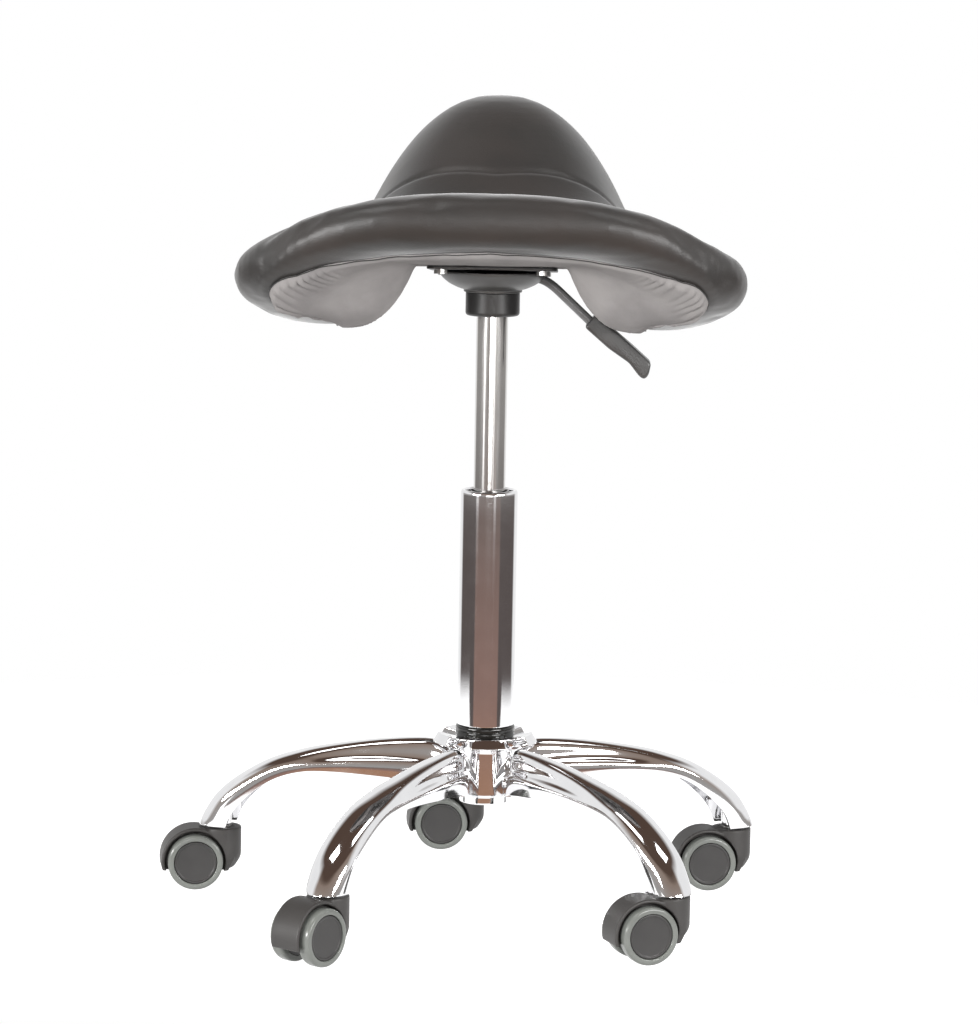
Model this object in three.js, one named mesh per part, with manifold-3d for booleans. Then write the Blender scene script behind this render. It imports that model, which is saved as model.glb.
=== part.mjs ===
// Saddle stool on a five-arm chrome base with twin-wheel casters.
// Millimetres, +Z up, the pommel points along +Y, the release lever is on the +X side.
// The origin is on the floor, under the middle of the stool's outer box.

import * as THREE from "three";
import { mergeVertices } from "three/addons/utils/BufferGeometryUtils.js";
import Module from "manifold-3d";

const wasm = await Module();
wasm.setup();

// Clearances that every piece shares
const seatGap = 0.3;
const runningGap = 0.3;
const cutOverrun = 5;
const mergeTolerance = 0.001;

// Where the column stands, measured from the middle of the outer box
const columnX = 25.4;
const columnY = -0.3;

// Segments round turned pieces
const fineSides = 20;
const plainSides = 16;
const pinSides = 12;
const curveSteps = 4;
const leverSteps = 10;

// Twin-wheel caster
const wheelRadius = 24.8;
const wheelSides = 16;
const caster = {
  trail: 24.5,
  webHalfWidth: 8.4,
  hoodHalfWidth: 15,
  hoodClearance: 2,
  hoodWall: 3.2,
  hoodRearAngle: 195,
  hoodFrontAngle: 60,
  neckRadius: 18,
  neckEdge: 1.2,
  topHeight: 54.6,
  neckBaseHeight: 27,
  neckFootHeight: 16,
  neckFootRadius: 11,
  bellyHeight: 13,
  axleRadius: 3.9,
  wheelInnerFace: 9.2,
  wheelOuterFace: 21.5,
  tyreThickness: 5.4,
  tyreRound: 3,
  coreRecess: 0.8,
  coreEndWall: 3,
  stemRadius: 5.5,
  stemFoot: 34,
  stemTop: 74,
  stemCollarRadius: 9,
  stemCollarHeight: 1.3,
};

// Base: hub with its flared petals, and arms
const hub = {
  bottom: 94,
  ringTop: 101.5,
  ringRadius: 22,
  bodyRadius: 24,
  stepHeight: 141,
  stepRise: 3,
  collarRadius: 26,
  top: 152.6,
  wallMiddleRadius: 21.8,
  petalReach: 46.3,
  petalLean: 4.8,
  petalRimBottom: 148,
  petalRimTop: 156,
  petalRootBottom: 142,
  petalRootTop: 151.6,
  petalBow: 1.2,
};
const petalHalfAngle = 20;
const baseTurn = 5.65;
const armTipHeight = 56.7;
const armWall = 2.8;
const armTopHeight = 148;
const armReach = 264;
const casterInset = 20.3;
const casterCircle = armReach - casterInset;
const armHalfWidth = 18.5;
const armRootSink = 1.6;
const armRoot = hub.bodyRadius - armRootSink;
const armSocketWall = 3.6;
const socketWebHalfThickness = 1.5;
const solidRows = 2;

// Rows from hub to tip: way along, height, depth, half width as shares, then the tilt in degrees
const armRowShares = [
  [0, 0.845, 0.17, 0.46, 0],
  [0.035, 0.926, 0.24, 0.52, 0],
  [0.073, 0.976, 0.262, 0.62, 0],
  [0.131, 0.998, 0.262, 0.77, 0],
  [0.301, 0.975, 0.216, 0.97, 0],
  [0.497, 0.92, 0.152, 0.97, 5],
  [0.618, 0.872, 0.122, 0.98, 13],
  [0.732, 0.806, 0.122, 1, 24],
  [0.844, 0.7, 0.14, 1.02, 39],
  [0.926, 0.588, 0.162, 1.02, 51],
  [0.975, 0.473, 0.182, 1, 62],
  [1, 0.385, 0.196, 0.98, 70],
  [1.013, 0.31, 0.2, 0.97, 72],
];

// Half of the arm's section, from the crown down: sideways and down, as shares
const ribbedSectionShares = [
  [0.34, 0.03],
  [0.6, 0.14],
  [0.68, 0.46],
  [0.98, 0.56],
  [0.97, 1],
];
const plainSectionShares = [
  [0.45, 0.05],
  [0.8, 0.22],
  [0.97, 0.5],
  [1, 0.75],
  [1, 1],
];
const ribFadeStartShare = 0.344;
const ribFadeEndShare = 0.672;

// Gas lift
const column = {
  footBottom: 98,
  floorThickness: 4,
  footRadius: 17.5,
  taperTopRadius: 19.1,
  footWall: 2.4,
  shoulderHeight: 163.3,
  outerRadius: 25,
  boreRadius: 20.9,
  top: 372,
  lipRound: 3.2,
};
const ringOuterRadius = 26.1;
const sleeveSink = 6;
const sleeveLength = 130;
const rod = {
  radius: 5,
  bottom: 95.4,
  clipRadius: 8.5,
  clipThickness: 2,
  shoulderRadius: 9,
  shoulderThickness: 3,
  pistonThickness: 8,
};
const bearingRadius = 12;
const bearingThickness = 6;

// Mechanism under the seat, each piece standing on the one below
const collar = { radius: 23.7, bottom: 525, height: 20.4, rounding: 3 };
const collarTop = collar.bottom + collar.height;
const bowl = {
  footRadius: 25.5,
  footHeight: 2.3,
  height: 23.9,
  rimRadius: 49,
  wall: 2.6,
};
const bowlBottom = collarTop + seatGap;
const bowlFootTop = bowlBottom + bowl.footHeight;
const bowlSlopeShares = [
  [0.18, 0.06],
  [0.56, 0.32],
  [0.82, 0.64],
  [1, 1],
];
const plate = {
  halfWidth: 56,
  halfLength: 56,
  thickness: 3,
  boltX: 44,
  boltY: 42,
  cornerRadius: 8,
};
const bolt = { radius: 3, headRadius: 6, headThickness: 3.6, length: 15 };

// Cylinder and its release pin, which reach up into the bowl
const cylinder = {
  radius: 14,
  rise: 4.6,
  insertion: 62,
  endWall: 12,
  boreRadius: 11.5,
  headThickness: 50,
};
const cylinderTop = collarTop + cylinder.rise;
const cylinderBottom = column.top - cylinder.insertion;
const cylinderBoreTop = cylinderTop - cylinder.headThickness;
const releasePin = {
  radius: 3,
  lengthInCylinder: 14,
  holeDepth: 20,
};

// Release lever
const lever = {
  rodRadius: 4,
  pivotX: 38,
  pivotPinRadius: 2.5,
  pivotPinHalfLength: 12,
  lugThickness: 4,
  lugHalfWidth: 5,
  innerEndX: -6,
  rise: 12.3,
  bendX: 46,
  bendEndShare: 0.3,
  gripX: 84.5,
  gripDrop: 35.5,
  rodInGrip: 34,
  gripLength: 70,
  gripHalfDepth: 7.6,
  gripHalfWidth: 12,
  gripEdge: 2.5,
  slotGap: 1.6,
};

const leverHeight = bowlBottom + lever.rise;
const gripHeight = leverHeight - lever.gripDrop;

// Grip outline seen from the side: along its length and across, as shares
const gripOutlineShares = [
  [0, 1.04],
  [0.6, 1.37],
  [0.92, 1.43],
  [1, 0.24],
  [1, -0.46],
  [0.93, -0.62],
  [0.72, -0.31],
  [0.41, -0.74],
  [0.01, -0.87],
];

// Saddle seat
const seat = {
  centreY: 5,
  halfLength: 190,
  rearHalfWidth: 246,
  frontHalfWidth: 153,
  taperStartY: -130,
  taperEndY: 110,
  outlinePower: 0.75,
  edgePower: 11,
  padding: 47.4,
  dipY: -25,
  ridgeY: -150,
  ridgeRise: 24,
  pommelFootY: -20,
  pommelPeakY: 150,
  pommelRise: 100,
  pommelNoseDrop: 26,
  crossWidth: 119,
  crossPower: 2.2,
  rearCrossDrop: 8,
  pommelCrossDrop: 92,
  crossDropStartY: -30,
  crossDropEndY: 140,
  shoulderSlope: 1.3,
  underTilt: 4.6,
  flapDrop: 57,
  flapCentreY: 5,
  flapRearReach: 230,
  flapFrontReach: 160,
  flapInnerX: 70,
  flapOuterX: 124,
  flapRearSpread: 110,
  flapSpreadStartY: -50,
  flapSpreadLength: 120,
  bulgeFrontY: -20,
  bulgeFrontLength: 40,
  bulgeRearY: -75,
  bulgeRearLength: 45,
  frontLiftStartY: 70,
  frontLift: 78,
};
const underHeight = bowlBottom + bowl.height;
const dipHeight = underHeight + seat.padding;
const flapBulgePower = 2.4;
const coverThickness = 2;
const boardThickness = 9;
const dustCoverThickness = 2;
const foamUnderGap = 1;
const seatSides = 30;

// Shares of the way from the seat's middle to its outline
const topRingShares = [0.22, 0.42, 0.6, 0.74, 0.86];
const underRingShares = [0.3, 0.38, 0.47, 0.65, 0.79, 0.86];
const edgeRingShares = [0.92, 0.965];
const outlineShare = 1;
const coverOpeningShare = 0.79;
const boardEdgeShare = 0.86;
const foamStepShare = 0.875;
const dustCoverEdgeShare = 0.92;

// Materials
const materials = {
  chrome: new THREE.MeshStandardMaterial({ color: 0xd8d8da, roughness: 0.08, metalness: 1 }),
  steel: new THREE.MeshStandardMaterial({ color: 0xa8a6a4, roughness: 0.35, metalness: 1 }),
  greyPaint: new THREE.MeshStandardMaterial({ color: 0x6c6a68, roughness: 0.5, metalness: 0.3 }),
  blackPlastic: new THREE.MeshStandardMaterial({ color: 0x2e2d2c, roughness: 0.5, metalness: 0 }),
  hoodPlastic: new THREE.MeshStandardMaterial({ color: 0x4a4846, roughness: 0.6, metalness: 0 }),
  tyre: new THREE.MeshStandardMaterial({ color: 0x7c827c, roughness: 0.3, metalness: 0 }),
  vinyl: new THREE.MeshStandardMaterial({ color: 0x474240, roughness: 0.45, metalness: 0 }),
  foam: new THREE.MeshStandardMaterial({ color: 0xd8cfa8, roughness: 0.95, metalness: 0 }),
  plywood: new THREE.MeshStandardMaterial({ color: 0xb08a5a, roughness: 0.7, metalness: 0 }),
  dustCloth: new THREE.MeshStandardMaterial({ color: 0x7f7a75, roughness: 0.95, metalness: 0 }),
};

// Small helpers
function radians(degrees) {
  return THREE.MathUtils.degToRad(degrees);
}

function smooth(t) {
  return THREE.MathUtils.smoothstep(t, 0, 1);
}

function lerp(a, b, t) {
  return THREE.MathUtils.lerp(a, b, t);
}

// Turns a closed geometry into a solid that can be joined and cut
function solidOf(geometry) {
  const bare = geometry.clone();
  bare.deleteAttribute("normal");
  bare.deleteAttribute("uv");
  const merged = mergeVertices(bare, mergeTolerance);
  const mesh = new wasm.Mesh({
    numProp: 3,
    vertProperties: new Float32Array(merged.attributes.position.array),
    triVerts: new Uint32Array(merged.index.array),
  });
  return new wasm.Manifold(mesh);
}

// Turns a solid back into a geometry with flat faces
function geometryOf(solid) {
  const mesh = solid.getMesh();
  const geometry = new THREE.BufferGeometry();
  geometry.setAttribute("position", new THREE.BufferAttribute(mesh.vertProperties, mesh.numProp));
  geometry.setIndex(new THREE.BufferAttribute(mesh.triVerts, 1));
  const flat = geometry.toNonIndexed();
  flat.computeVertexNormals();
  return flat;
}

function join(first, ...others) {
  return geometryOf(others.reduce((whole, next) => whole.add(solidOf(next)), solidOf(first)));
}

function common(first, second) {
  return geometryOf(solidOf(first).intersect(solidOf(second)));
}

function cut(first, ...tools) {
  return geometryOf(tools.reduce((whole, tool) => whole.subtract(solidOf(tool)), solidOf(first)));
}

// A piece turned about the upright axis from points of radius and height
function turned(points, sides) {
  const profile = points.map(([radius, height]) => new THREE.Vector2(radius, height));
  const geometry = new THREE.LatheGeometry(profile, sides);
  geometry.rotateX(radians(90));
  return geometry;
}

// A ring or tube: the profile is a closed loop that keeps off the axis
function turnedRing(points, sides) {
  return turned([...points, points[0]], sides);
}

function uprightPin(radius, bottom, top, sides) {
  return turned([[0, bottom], [radius, bottom], [radius, top], [0, top]], sides);
}

// A pin along X, centred on the origin
function crossPin(radius, halfLength, sides) {
  const geometry = uprightPin(radius, -halfLength, halfLength, sides);
  geometry.rotateY(radians(90));
  return geometry;
}

function block(minX, maxX, minY, maxY, minZ, maxZ) {
  const geometry = new THREE.BoxGeometry(maxX - minX, maxY - minY, maxZ - minZ);
  geometry.translate((minX + maxX) / 2, (minY + maxY) / 2, (minZ + maxZ) / 2);
  return geometry;
}

// A closed body from rings of points, each ring with as many points as the next.
// A ring of one point closes the body there; other ends are closed with a fan.
function ringBody(rings) {
  const points = [];
  const faces = [];
  const starts = rings.map((ring) => {
    const start = points.length;
    points.push(...ring);
    return start;
  });
  for (let i = 0; i + 1 < rings.length; i += 1) {
    joinRings(points, faces, starts[i], rings[i].length, starts[i + 1], rings[i + 1].length);
  }
  closeEnd(points, faces, starts[0], rings[0], false);
  closeEnd(points, faces, starts[rings.length - 1], rings[rings.length - 1], true);
  const geometry = new THREE.BufferGeometry();
  geometry.setFromPoints(points);
  geometry.setIndex(faces);
  return geometry;
}

// Each four-sided patch is split along its higher diagonal, so that nested skins split alike
function joinRings(points, faces, a, countA, b, countB) {
  const count = Math.max(countA, countB);
  for (let k = 0; k < count; k += 1) {
    const next = (k + 1) % count;
    if (countA === 1) {
      faces.push(a, b + k, b + next);
    } else if (countB === 1) {
      faces.push(a + k, b, a + next);
    } else if (points[a + k].z + points[b + next].z > points[a + next].z + points[b + k].z) {
      faces.push(a + k, b + k, b + next);
      faces.push(a + k, b + next, a + next);
    } else {
      faces.push(a + k, b + k, a + next);
      faces.push(a + next, b + k, b + next);
    }
  }
}

function closeEnd(points, faces, start, ring, last) {
  if (ring.length === 1) {
    return;
  }
  const middle = new THREE.Vector3();
  ring.forEach((point) => middle.add(point));
  middle.divideScalar(ring.length);
  const centre = points.push(middle) - 1;
  for (let k = 0; k < ring.length; k += 1) {
    const next = (k + 1) % ring.length;
    if (last) {
      faces.push(centre, start + next, start + k);
    } else {
      faces.push(centre, start + k, start + next);
    }
  }
}

// Groups: the stool, and the column's axis inside it
const stool = new THREE.Group();
const axisGroup = new THREE.Group();
axisGroup.position.set(columnX, columnY, 0);
stool.add(axisGroup);

function addPiece(group, name, geometry, material) {
  const mesh = new THREE.Mesh(geometry, material);
  mesh.name = name;
  group.add(mesh);
  return mesh;
}

// Hub: a turned socket with five petals that flare outwards between the arms
function hubGeometry() {
  const body = turnedRing(
    [
      [column.footRadius + seatGap, hub.bottom],
      [hub.ringRadius, hub.bottom],
      [hub.ringRadius, hub.ringTop],
      [hub.bodyRadius, hub.ringTop],
      [hub.bodyRadius, hub.stepHeight],
      [hub.collarRadius, hub.stepHeight + hub.stepRise],
      [hub.collarRadius, hub.top],
      [column.taperTopRadius + seatGap, hub.top],
    ],
    fineSides,
  );
  return join(body, petalGeometry());
}

// The petals: a flared ring, with a wedge taken out over each arm
function petalGeometry() {
  const middleReach = (hub.bodyRadius + hub.petalReach) / 2;
  const ring = turnedRing(
    [
      [hub.wallMiddleRadius, hub.petalRootBottom],
      [middleReach, (hub.petalRootBottom + hub.petalRimBottom) / 2 - hub.petalBow],
      [hub.petalReach, hub.petalRimBottom],
      [hub.petalReach - hub.petalLean, hub.petalRimTop],
      [hub.wallMiddleRadius, hub.petalRootTop],
    ],
    fineSides,
  );
  const gapHalfAngle = radians(halfArmStep - petalHalfAngle);
  const gapReach = 2 * hub.petalReach;
  const gaps = arms.map((arm) => {
    const outline = new THREE.Shape();
    outline.moveTo(0, 0);
    outline.lineTo(gapReach * Math.cos(gapHalfAngle), -gapReach * Math.sin(gapHalfAngle));
    outline.lineTo(gapReach * Math.cos(gapHalfAngle), gapReach * Math.sin(gapHalfAngle));
    outline.closePath();
    const gap = new THREE.ExtrudeGeometry(outline, { depth: armTopHeight + gapReach, bevelEnabled: false });
    gap.rotateZ(armDirection(arm.turn));
    return gap;
  });
  return cut(ring, ...gaps);
}

// Arms: name, place round the hub and how its caster is turned, in degrees from the back
const halfArmStep = 36;
const arms = [
  { name: "rear_left", turn: -36, axleTurn: 52.6 },
  { name: "rear_right", turn: 36, axleTurn: 23.1 },
  { name: "left", turn: -108, axleTurn: 10 },
  { name: "right", turn: 108, axleTurn: 12.8 },
  { name: "front", turn: 180, axleTurn: 7.9 },
];

// Angle about +Z, from +X, of the direction that lies turn degrees from -Y towards +X
function armDirection(turn) {
  return radians(turn + baseTurn - 90);
}

function armRow([reachShare, heightShare, depthShare, widthShare, tilt]) {
  return {
    share: reachShare,
    reach: lerp(armRoot, armReach, reachShare),
    height: heightShare * armTopHeight,
    depth: depthShare * armTopHeight,
    halfWidth: widthShare * armHalfWidth,
    tilt: radians(tilt),
  };
}

// Half of the arm's section, which loses its ribs on the way to the tip
function sectionShares(row) {
  const fade = smooth((row.share - ribFadeStartShare) / (ribFadeEndShare - ribFadeStartShare));
  return ribbedSectionShares.map(([side, down], i) => {
    const [plainSide, plainDown] = plainSectionShares[i];
    return [lerp(side, plainSide, fade), lerp(down, plainDown, fade)];
  });
}

// One section of the arm in space, moved inwards by wall and left open below by extra
function armSection(row, wall, extra) {
  const half = sectionShares(row);
  const place = (side, down) => {
    return new THREE.Vector3(
      row.reach - down * Math.sin(row.tilt),
      side,
      row.height - down * Math.cos(row.tilt),
    );
  };
  const points = half.map(([sideShare, downShare], i) => {
    const lowest = i + 1 === half.length;
    return {
      side: sideShare * row.halfWidth - wall,
      down: downShare * row.depth + (lowest ? extra : wall),
    };
  });
  const right = points.map(({ side, down }) => place(side, down));
  const left = points.map(({ side, down }) => place(-side, down)).reverse();
  return [place(0, wall), ...right, ...left];
}

function armGeometry() {
  const rows = armRowShares.map((shares) => armRow(shares));
  const outer = ringBody(rows.map((row) => armSection(row, 0, 0)));
  const hollow = ringBody(rows.slice(solidRows).map((row) => armSection(row, armWall, cutOverrun)));
  const shell = cut(outer, hollow);
  const socketRadius = caster.stemRadius + runningGap + armSocketWall;
  const socketPost = uprightPin(socketRadius, armTipHeight, armTopHeight, pinSides);
  socketPost.translate(casterCircle, 0, 0);
  const webBlock = block(
    casterCircle - socketWebHalfThickness,
    casterCircle + socketWebHalfThickness,
    -armReach,
    armReach,
    armTipHeight,
    armTopHeight,
  );
  const socket = common(outer, join(socketPost, webBlock));
  const bore = uprightPin(
    caster.stemRadius + runningGap,
    armTipHeight - cutOverrun,
    caster.stemTop + runningGap,
    pinSides,
  );
  bore.translate(casterCircle, 0, 0);
  const below = block(0, 2 * armReach, -armReach, armReach, -armTipHeight, armTipHeight);
  const hubSpace = uprightPin(hub.bodyRadius + seatGap, 0, armTopHeight + cutOverrun, fineSides);
  return cut(join(shell, socket), bore, below, hubSpace);
}

// Caster parts, each made with the swivel axis at the origin and the axle along X
const axleHeight = wheelRadius;
const wheelCornerRadius = wheelRadius / Math.cos(Math.PI / wheelSides);
const hoodInnerRadius = wheelCornerRadius + caster.hoodClearance;
const hoodOuterRadius = hoodInnerRadius + caster.hoodWall;

// Side outline of the web and hood, drawn with the trail along -X
function housingOutline() {
  const rear = radians(caster.hoodRearAngle);
  const front = radians(caster.hoodFrontAngle);
  const outline = new THREE.Shape();
  outline.moveTo(0, caster.topHeight - caster.neckEdge);
  outline.lineTo(caster.neckFootRadius, caster.neckBaseHeight);
  outline.lineTo(caster.neckFootRadius / 2, caster.neckFootHeight);
  outline.lineTo(-caster.trail / 2, caster.bellyHeight);
  outline.lineTo(-caster.trail, caster.bellyHeight);
  outline.lineTo(
    -caster.trail + hoodOuterRadius * Math.cos(rear),
    axleHeight + hoodOuterRadius * Math.sin(rear),
  );
  outline.absarc(-caster.trail, axleHeight, hoodOuterRadius, rear, front, true);
  outline.closePath();
  return outline;
}

function neckGeometry() {
  return turned(
    [
      [0, caster.neckFootHeight],
      [caster.neckFootRadius, caster.neckFootHeight],
      [caster.neckRadius, caster.neckBaseHeight],
      [caster.neckRadius, caster.topHeight - caster.neckEdge],
      [caster.neckRadius - caster.neckEdge, caster.topHeight],
      [0, caster.topHeight],
    ],
    plainSides,
  );
}

// A solid that fills one wheel's space inside the hood
function wheelSpace(side) {
  const length = caster.neckRadius + cutOverrun - caster.webHalfWidth;
  const geometry = crossPin(hoodInnerRadius, length / 2, plainSides);
  geometry.translate(side * (caster.webHalfWidth + length / 2), -caster.trail, axleHeight);
  return geometry;
}

function housingGeometry() {
  const body = new THREE.ExtrudeGeometry(housingOutline(), {
    depth: 2 * caster.hoodHalfWidth,
    bevelEnabled: false,
    curveSegments: curveSteps,
  });
  body.translate(0, 0, -caster.hoodHalfWidth);
  body.rotateY(radians(90));
  body.rotateX(radians(90));
  const axleHole = crossPin(caster.axleRadius + runningGap, caster.hoodHalfWidth, pinSides);
  axleHole.translate(0, -caster.trail, axleHeight);
  const stemHole = uprightPin(
    caster.stemRadius + runningGap,
    caster.stemFoot - runningGap,
    caster.topHeight + cutOverrun,
    pinSides,
  );
  return cut(join(body, neckGeometry()), wheelSpace(-1), wheelSpace(1), axleHole, stemHole);
}

function stemGeometry() {
  const collarBottom = caster.topHeight + seatGap;
  return turned(
    [
      [0, caster.stemFoot],
      [caster.stemRadius, caster.stemFoot],
      [caster.stemRadius, collarBottom],
      [caster.stemCollarRadius, collarBottom],
      [caster.stemCollarRadius, collarBottom + caster.stemCollarHeight],
      [caster.stemRadius, collarBottom + caster.stemCollarHeight],
      [caster.stemRadius, caster.stemTop],
      [0, caster.stemTop],
    ],
    pinSides,
  );
}

function axleGeometry() {
  const halfLength = caster.wheelOuterFace - caster.coreEndWall - caster.coreRecess;
  const axle = crossPin(caster.axleRadius, halfLength, pinSides);
  axle.translate(0, -caster.trail, axleHeight);
  return axle;
}

// Wheel pieces are turned about the upright axis first, then laid along the axle
function layWheel(geometry, side) {
  geometry.rotateZ(Math.PI / wheelSides);
  geometry.rotateY(side * radians(90));
  return geometry;
}

function tyreGeometry(side) {
  const inner = wheelCornerRadius - caster.tyreThickness;
  return layWheel(
    turnedRing(
      [
        [inner, caster.wheelInnerFace],
        [wheelCornerRadius - caster.tyreRound, caster.wheelInnerFace],
        [wheelCornerRadius, caster.wheelInnerFace + caster.tyreRound],
        [wheelCornerRadius, caster.wheelOuterFace - caster.tyreRound],
        [wheelCornerRadius - caster.tyreRound, caster.wheelOuterFace],
        [inner, caster.wheelOuterFace],
      ],
      wheelSides,
    ),
    side,
  );
}

function coreGeometry(side) {
  const rim = wheelCornerRadius - caster.tyreThickness - seatGap;
  const outerFace = caster.wheelOuterFace - caster.coreRecess;
  const bore = caster.axleRadius + runningGap;
  const boreEnd = outerFace - caster.coreEndWall + runningGap;
  return layWheel(
    turned(
      [
        [0, outerFace],
        [rim, outerFace],
        [rim, caster.wheelInnerFace],
        [bore, caster.wheelInnerFace],
        [bore, boreEnd],
        [0, boreEnd],
      ].reverse(),
      wheelSides,
    ),
    side,
  );
}

function addWheel(group, name, side) {
  const wheel = new THREE.Group();
  wheel.position.set(0, -caster.trail, axleHeight);
  group.add(wheel);
  addPiece(wheel, `wheel_core_${name}`, coreGeometry(side), materials.blackPlastic);
  addPiece(wheel, `tyre_${name}`, tyreGeometry(side), materials.tyre);
}

function addCaster(arm) {
  const direction = armDirection(arm.turn);
  const group = new THREE.Group();
  group.position.set(casterCircle * Math.cos(direction), casterCircle * Math.sin(direction), 0);
  group.rotation.z = radians(arm.axleTurn - 90);
  axisGroup.add(group);
  addPiece(group, `caster_stem_${arm.name}`, stemGeometry(), materials.steel);
  addPiece(group, `caster_housing_${arm.name}`, housingGeometry(), materials.hoodPlastic);
  addPiece(group, `caster_axle_${arm.name}`, axleGeometry(), materials.steel);
  addWheel(group, `${arm.name}_a`, 1);
  addWheel(group, `${arm.name}_b`, -1);
}

// Column, its foot ring, guide sleeve and bearing
function columnGeometry() {
  const floorTop = column.footBottom + column.floorThickness;
  return turnedRing(
    [
      [rod.radius + runningGap, column.footBottom],
      [column.footRadius, column.footBottom],
      [column.taperTopRadius, hub.top],
      [column.taperTopRadius, column.shoulderHeight],
      [column.outerRadius, column.shoulderHeight],
      [column.outerRadius, column.top - column.lipRound],
      [column.outerRadius - column.lipRound / 3, column.top - column.lipRound / 3],
      [column.outerRadius - column.lipRound, column.top],
      [column.boreRadius, column.top - column.lipRound / 3],
      [column.boreRadius, column.shoulderHeight + column.footWall],
      [column.taperTopRadius - column.footWall, column.shoulderHeight],
      [column.footRadius - column.footWall, floorTop],
      [rod.radius + runningGap, floorTop],
    ],
    fineSides,
  );
}

function footRingGeometry() {
  return turnedRing(
    [
      [column.taperTopRadius + seatGap, hub.top + seatGap],
      [ringOuterRadius, hub.top + seatGap],
      [ringOuterRadius, column.shoulderHeight - seatGap],
      [column.taperTopRadius + seatGap, column.shoulderHeight - seatGap],
    ],
    fineSides,
  );
}

function sleeveGeometry() {
  const top = column.top - sleeveSink;
  const bottom = top - sleeveLength;
  return turnedRing(
    [
      [cylinder.radius + runningGap, bottom],
      [column.boreRadius - seatGap, bottom],
      [column.boreRadius - seatGap, top],
      [cylinder.radius + runningGap, top],
    ],
    fineSides,
  );
}

const bearingBottom = column.footBottom + column.floorThickness + seatGap;
const shoulderBottom = bearingBottom + bearingThickness + seatGap;

function bearingGeometry() {
  return turnedRing(
    [
      [rod.radius + runningGap, bearingBottom],
      [bearingRadius, bearingBottom],
      [bearingRadius, bearingBottom + bearingThickness],
      [rod.radius + runningGap, bearingBottom + bearingThickness],
    ],
    plainSides,
  );
}

// Piston rod with its clip under the column's floor and its shoulder on the bearing
function rodGeometry() {
  const pistonBottom = cylinderBottom + cylinder.endWall + seatGap;
  const pistonRadius = cylinder.boreRadius - runningGap;
  return turned(
    [
      [0, rod.bottom],
      [rod.clipRadius, rod.bottom],
      [rod.clipRadius, rod.bottom + rod.clipThickness],
      [rod.radius, rod.bottom + rod.clipThickness],
      [rod.radius, shoulderBottom],
      [rod.shoulderRadius, shoulderBottom],
      [rod.shoulderRadius, shoulderBottom + rod.shoulderThickness],
      [rod.radius, shoulderBottom + rod.shoulderThickness],
      [rod.radius, pistonBottom],
      [pistonRadius, pistonBottom],
      [pistonRadius, pistonBottom + rod.pistonThickness],
      [0, pistonBottom + rod.pistonThickness],
    ],
    plainSides,
  );
}

function cylinderGeometry() {
  const body = turnedRing(
    [
      [rod.radius + runningGap, cylinderBottom],
      [cylinder.radius, cylinderBottom],
      [cylinder.radius, cylinderTop],
      [releasePin.radius + runningGap, cylinderTop],
      [releasePin.radius + runningGap, cylinderBoreTop],
      [cylinder.boreRadius, cylinderBoreTop],
      [cylinder.boreRadius, cylinderBottom + cylinder.endWall],
      [rod.radius + runningGap, cylinderBottom + cylinder.endWall],
    ],
    fineSides,
  );
  const holeBottom = cylinderTop - releasePin.holeDepth;
  const plug = uprightPin(cylinder.radius / 2, cylinderBoreTop - seatGap, holeBottom, fineSides);
  return join(body, plug);
}

function releasePinGeometry() {
  const top = leverHeight - lever.rodRadius - seatGap;
  return uprightPin(releasePin.radius, cylinderTop - releasePin.lengthInCylinder, top, pinSides);
}

// Collar, and the bowl with its plate
function collarGeometry() {
  return turnedRing(
    [
      [cylinder.radius + seatGap, collar.bottom],
      [collar.radius - collar.rounding, collar.bottom],
      [collar.radius, collar.bottom + collar.rounding],
      [collar.radius, collarTop],
      [cylinder.radius + seatGap, collarTop],
    ],
    fineSides,
  );
}

const underTilt = radians(seat.underTilt);
const plateTop = -(dustCoverThickness + 2 * seatGap);
const plateBottom = plateTop - plate.thickness;
const rimTop = underHeight + cutOverrun;

// Moves a piece drawn level, with zero on the seat's underside, to the tilted underside
function onUnderside(geometry) {
  geometry.rotateX(-underTilt);
  geometry.translate(0, 0, underHeight);
  return geometry;
}

function bowlGeometry() {
  const rimHeight = underHeight;
  const rise = rimHeight + plateBottom - bowlFootTop;
  const outer = bowlSlopeShares.map(([out, up]) => [
    lerp(bowl.footRadius, bowl.rimRadius, out),
    bowlFootTop + up * rise,
  ]);
  const inner = outer.map(([radius, height]) => [radius - bowl.wall, height + bowl.wall / 3]);
  return turnedRing(
    [
      [cylinder.radius + seatGap, bowlBottom],
      [bowl.footRadius, bowlBottom],
      [bowl.footRadius, bowlFootTop],
      ...outer,
      [bowl.rimRadius, rimHeight],
      [bowl.rimRadius - bowl.wall, rimHeight],
      ...inner.reverse(),
      [cylinder.radius + seatGap, bowlFootTop + bowl.wall / 3],
    ],
    fineSides,
  );
}

function plateGeometry() {
  const x = plate.halfWidth;
  const y = plate.halfLength;
  const r = plate.cornerRadius;
  const outline = new THREE.Shape();
  outline.moveTo(-x + r, -y);
  outline.lineTo(x - r, -y);
  outline.quadraticCurveTo(x, -y, x, -y + r);
  outline.lineTo(x, y - r);
  outline.quadraticCurveTo(x, y, x - r, y);
  outline.lineTo(-x + r, y);
  outline.quadraticCurveTo(-x, y, -x, y - r);
  outline.lineTo(-x, -y + r);
  outline.quadraticCurveTo(-x, -y, -x + r, -y);
  const geometry = new THREE.ExtrudeGeometry(outline, {
    depth: plate.thickness,
    bevelEnabled: false,
    curveSegments: curveSteps / 2,
  });
  geometry.translate(0, 0, plateBottom);
  return onUnderside(geometry);
}

const boltPlaces = [
  { name: "rear_left", x: -plate.boltX, y: -plate.boltY },
  { name: "rear_right", x: plate.boltX, y: -plate.boltY },
  { name: "front_left", x: -plate.boltX, y: plate.boltY },
  { name: "front_right", x: plate.boltX, y: plate.boltY },
];

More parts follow.
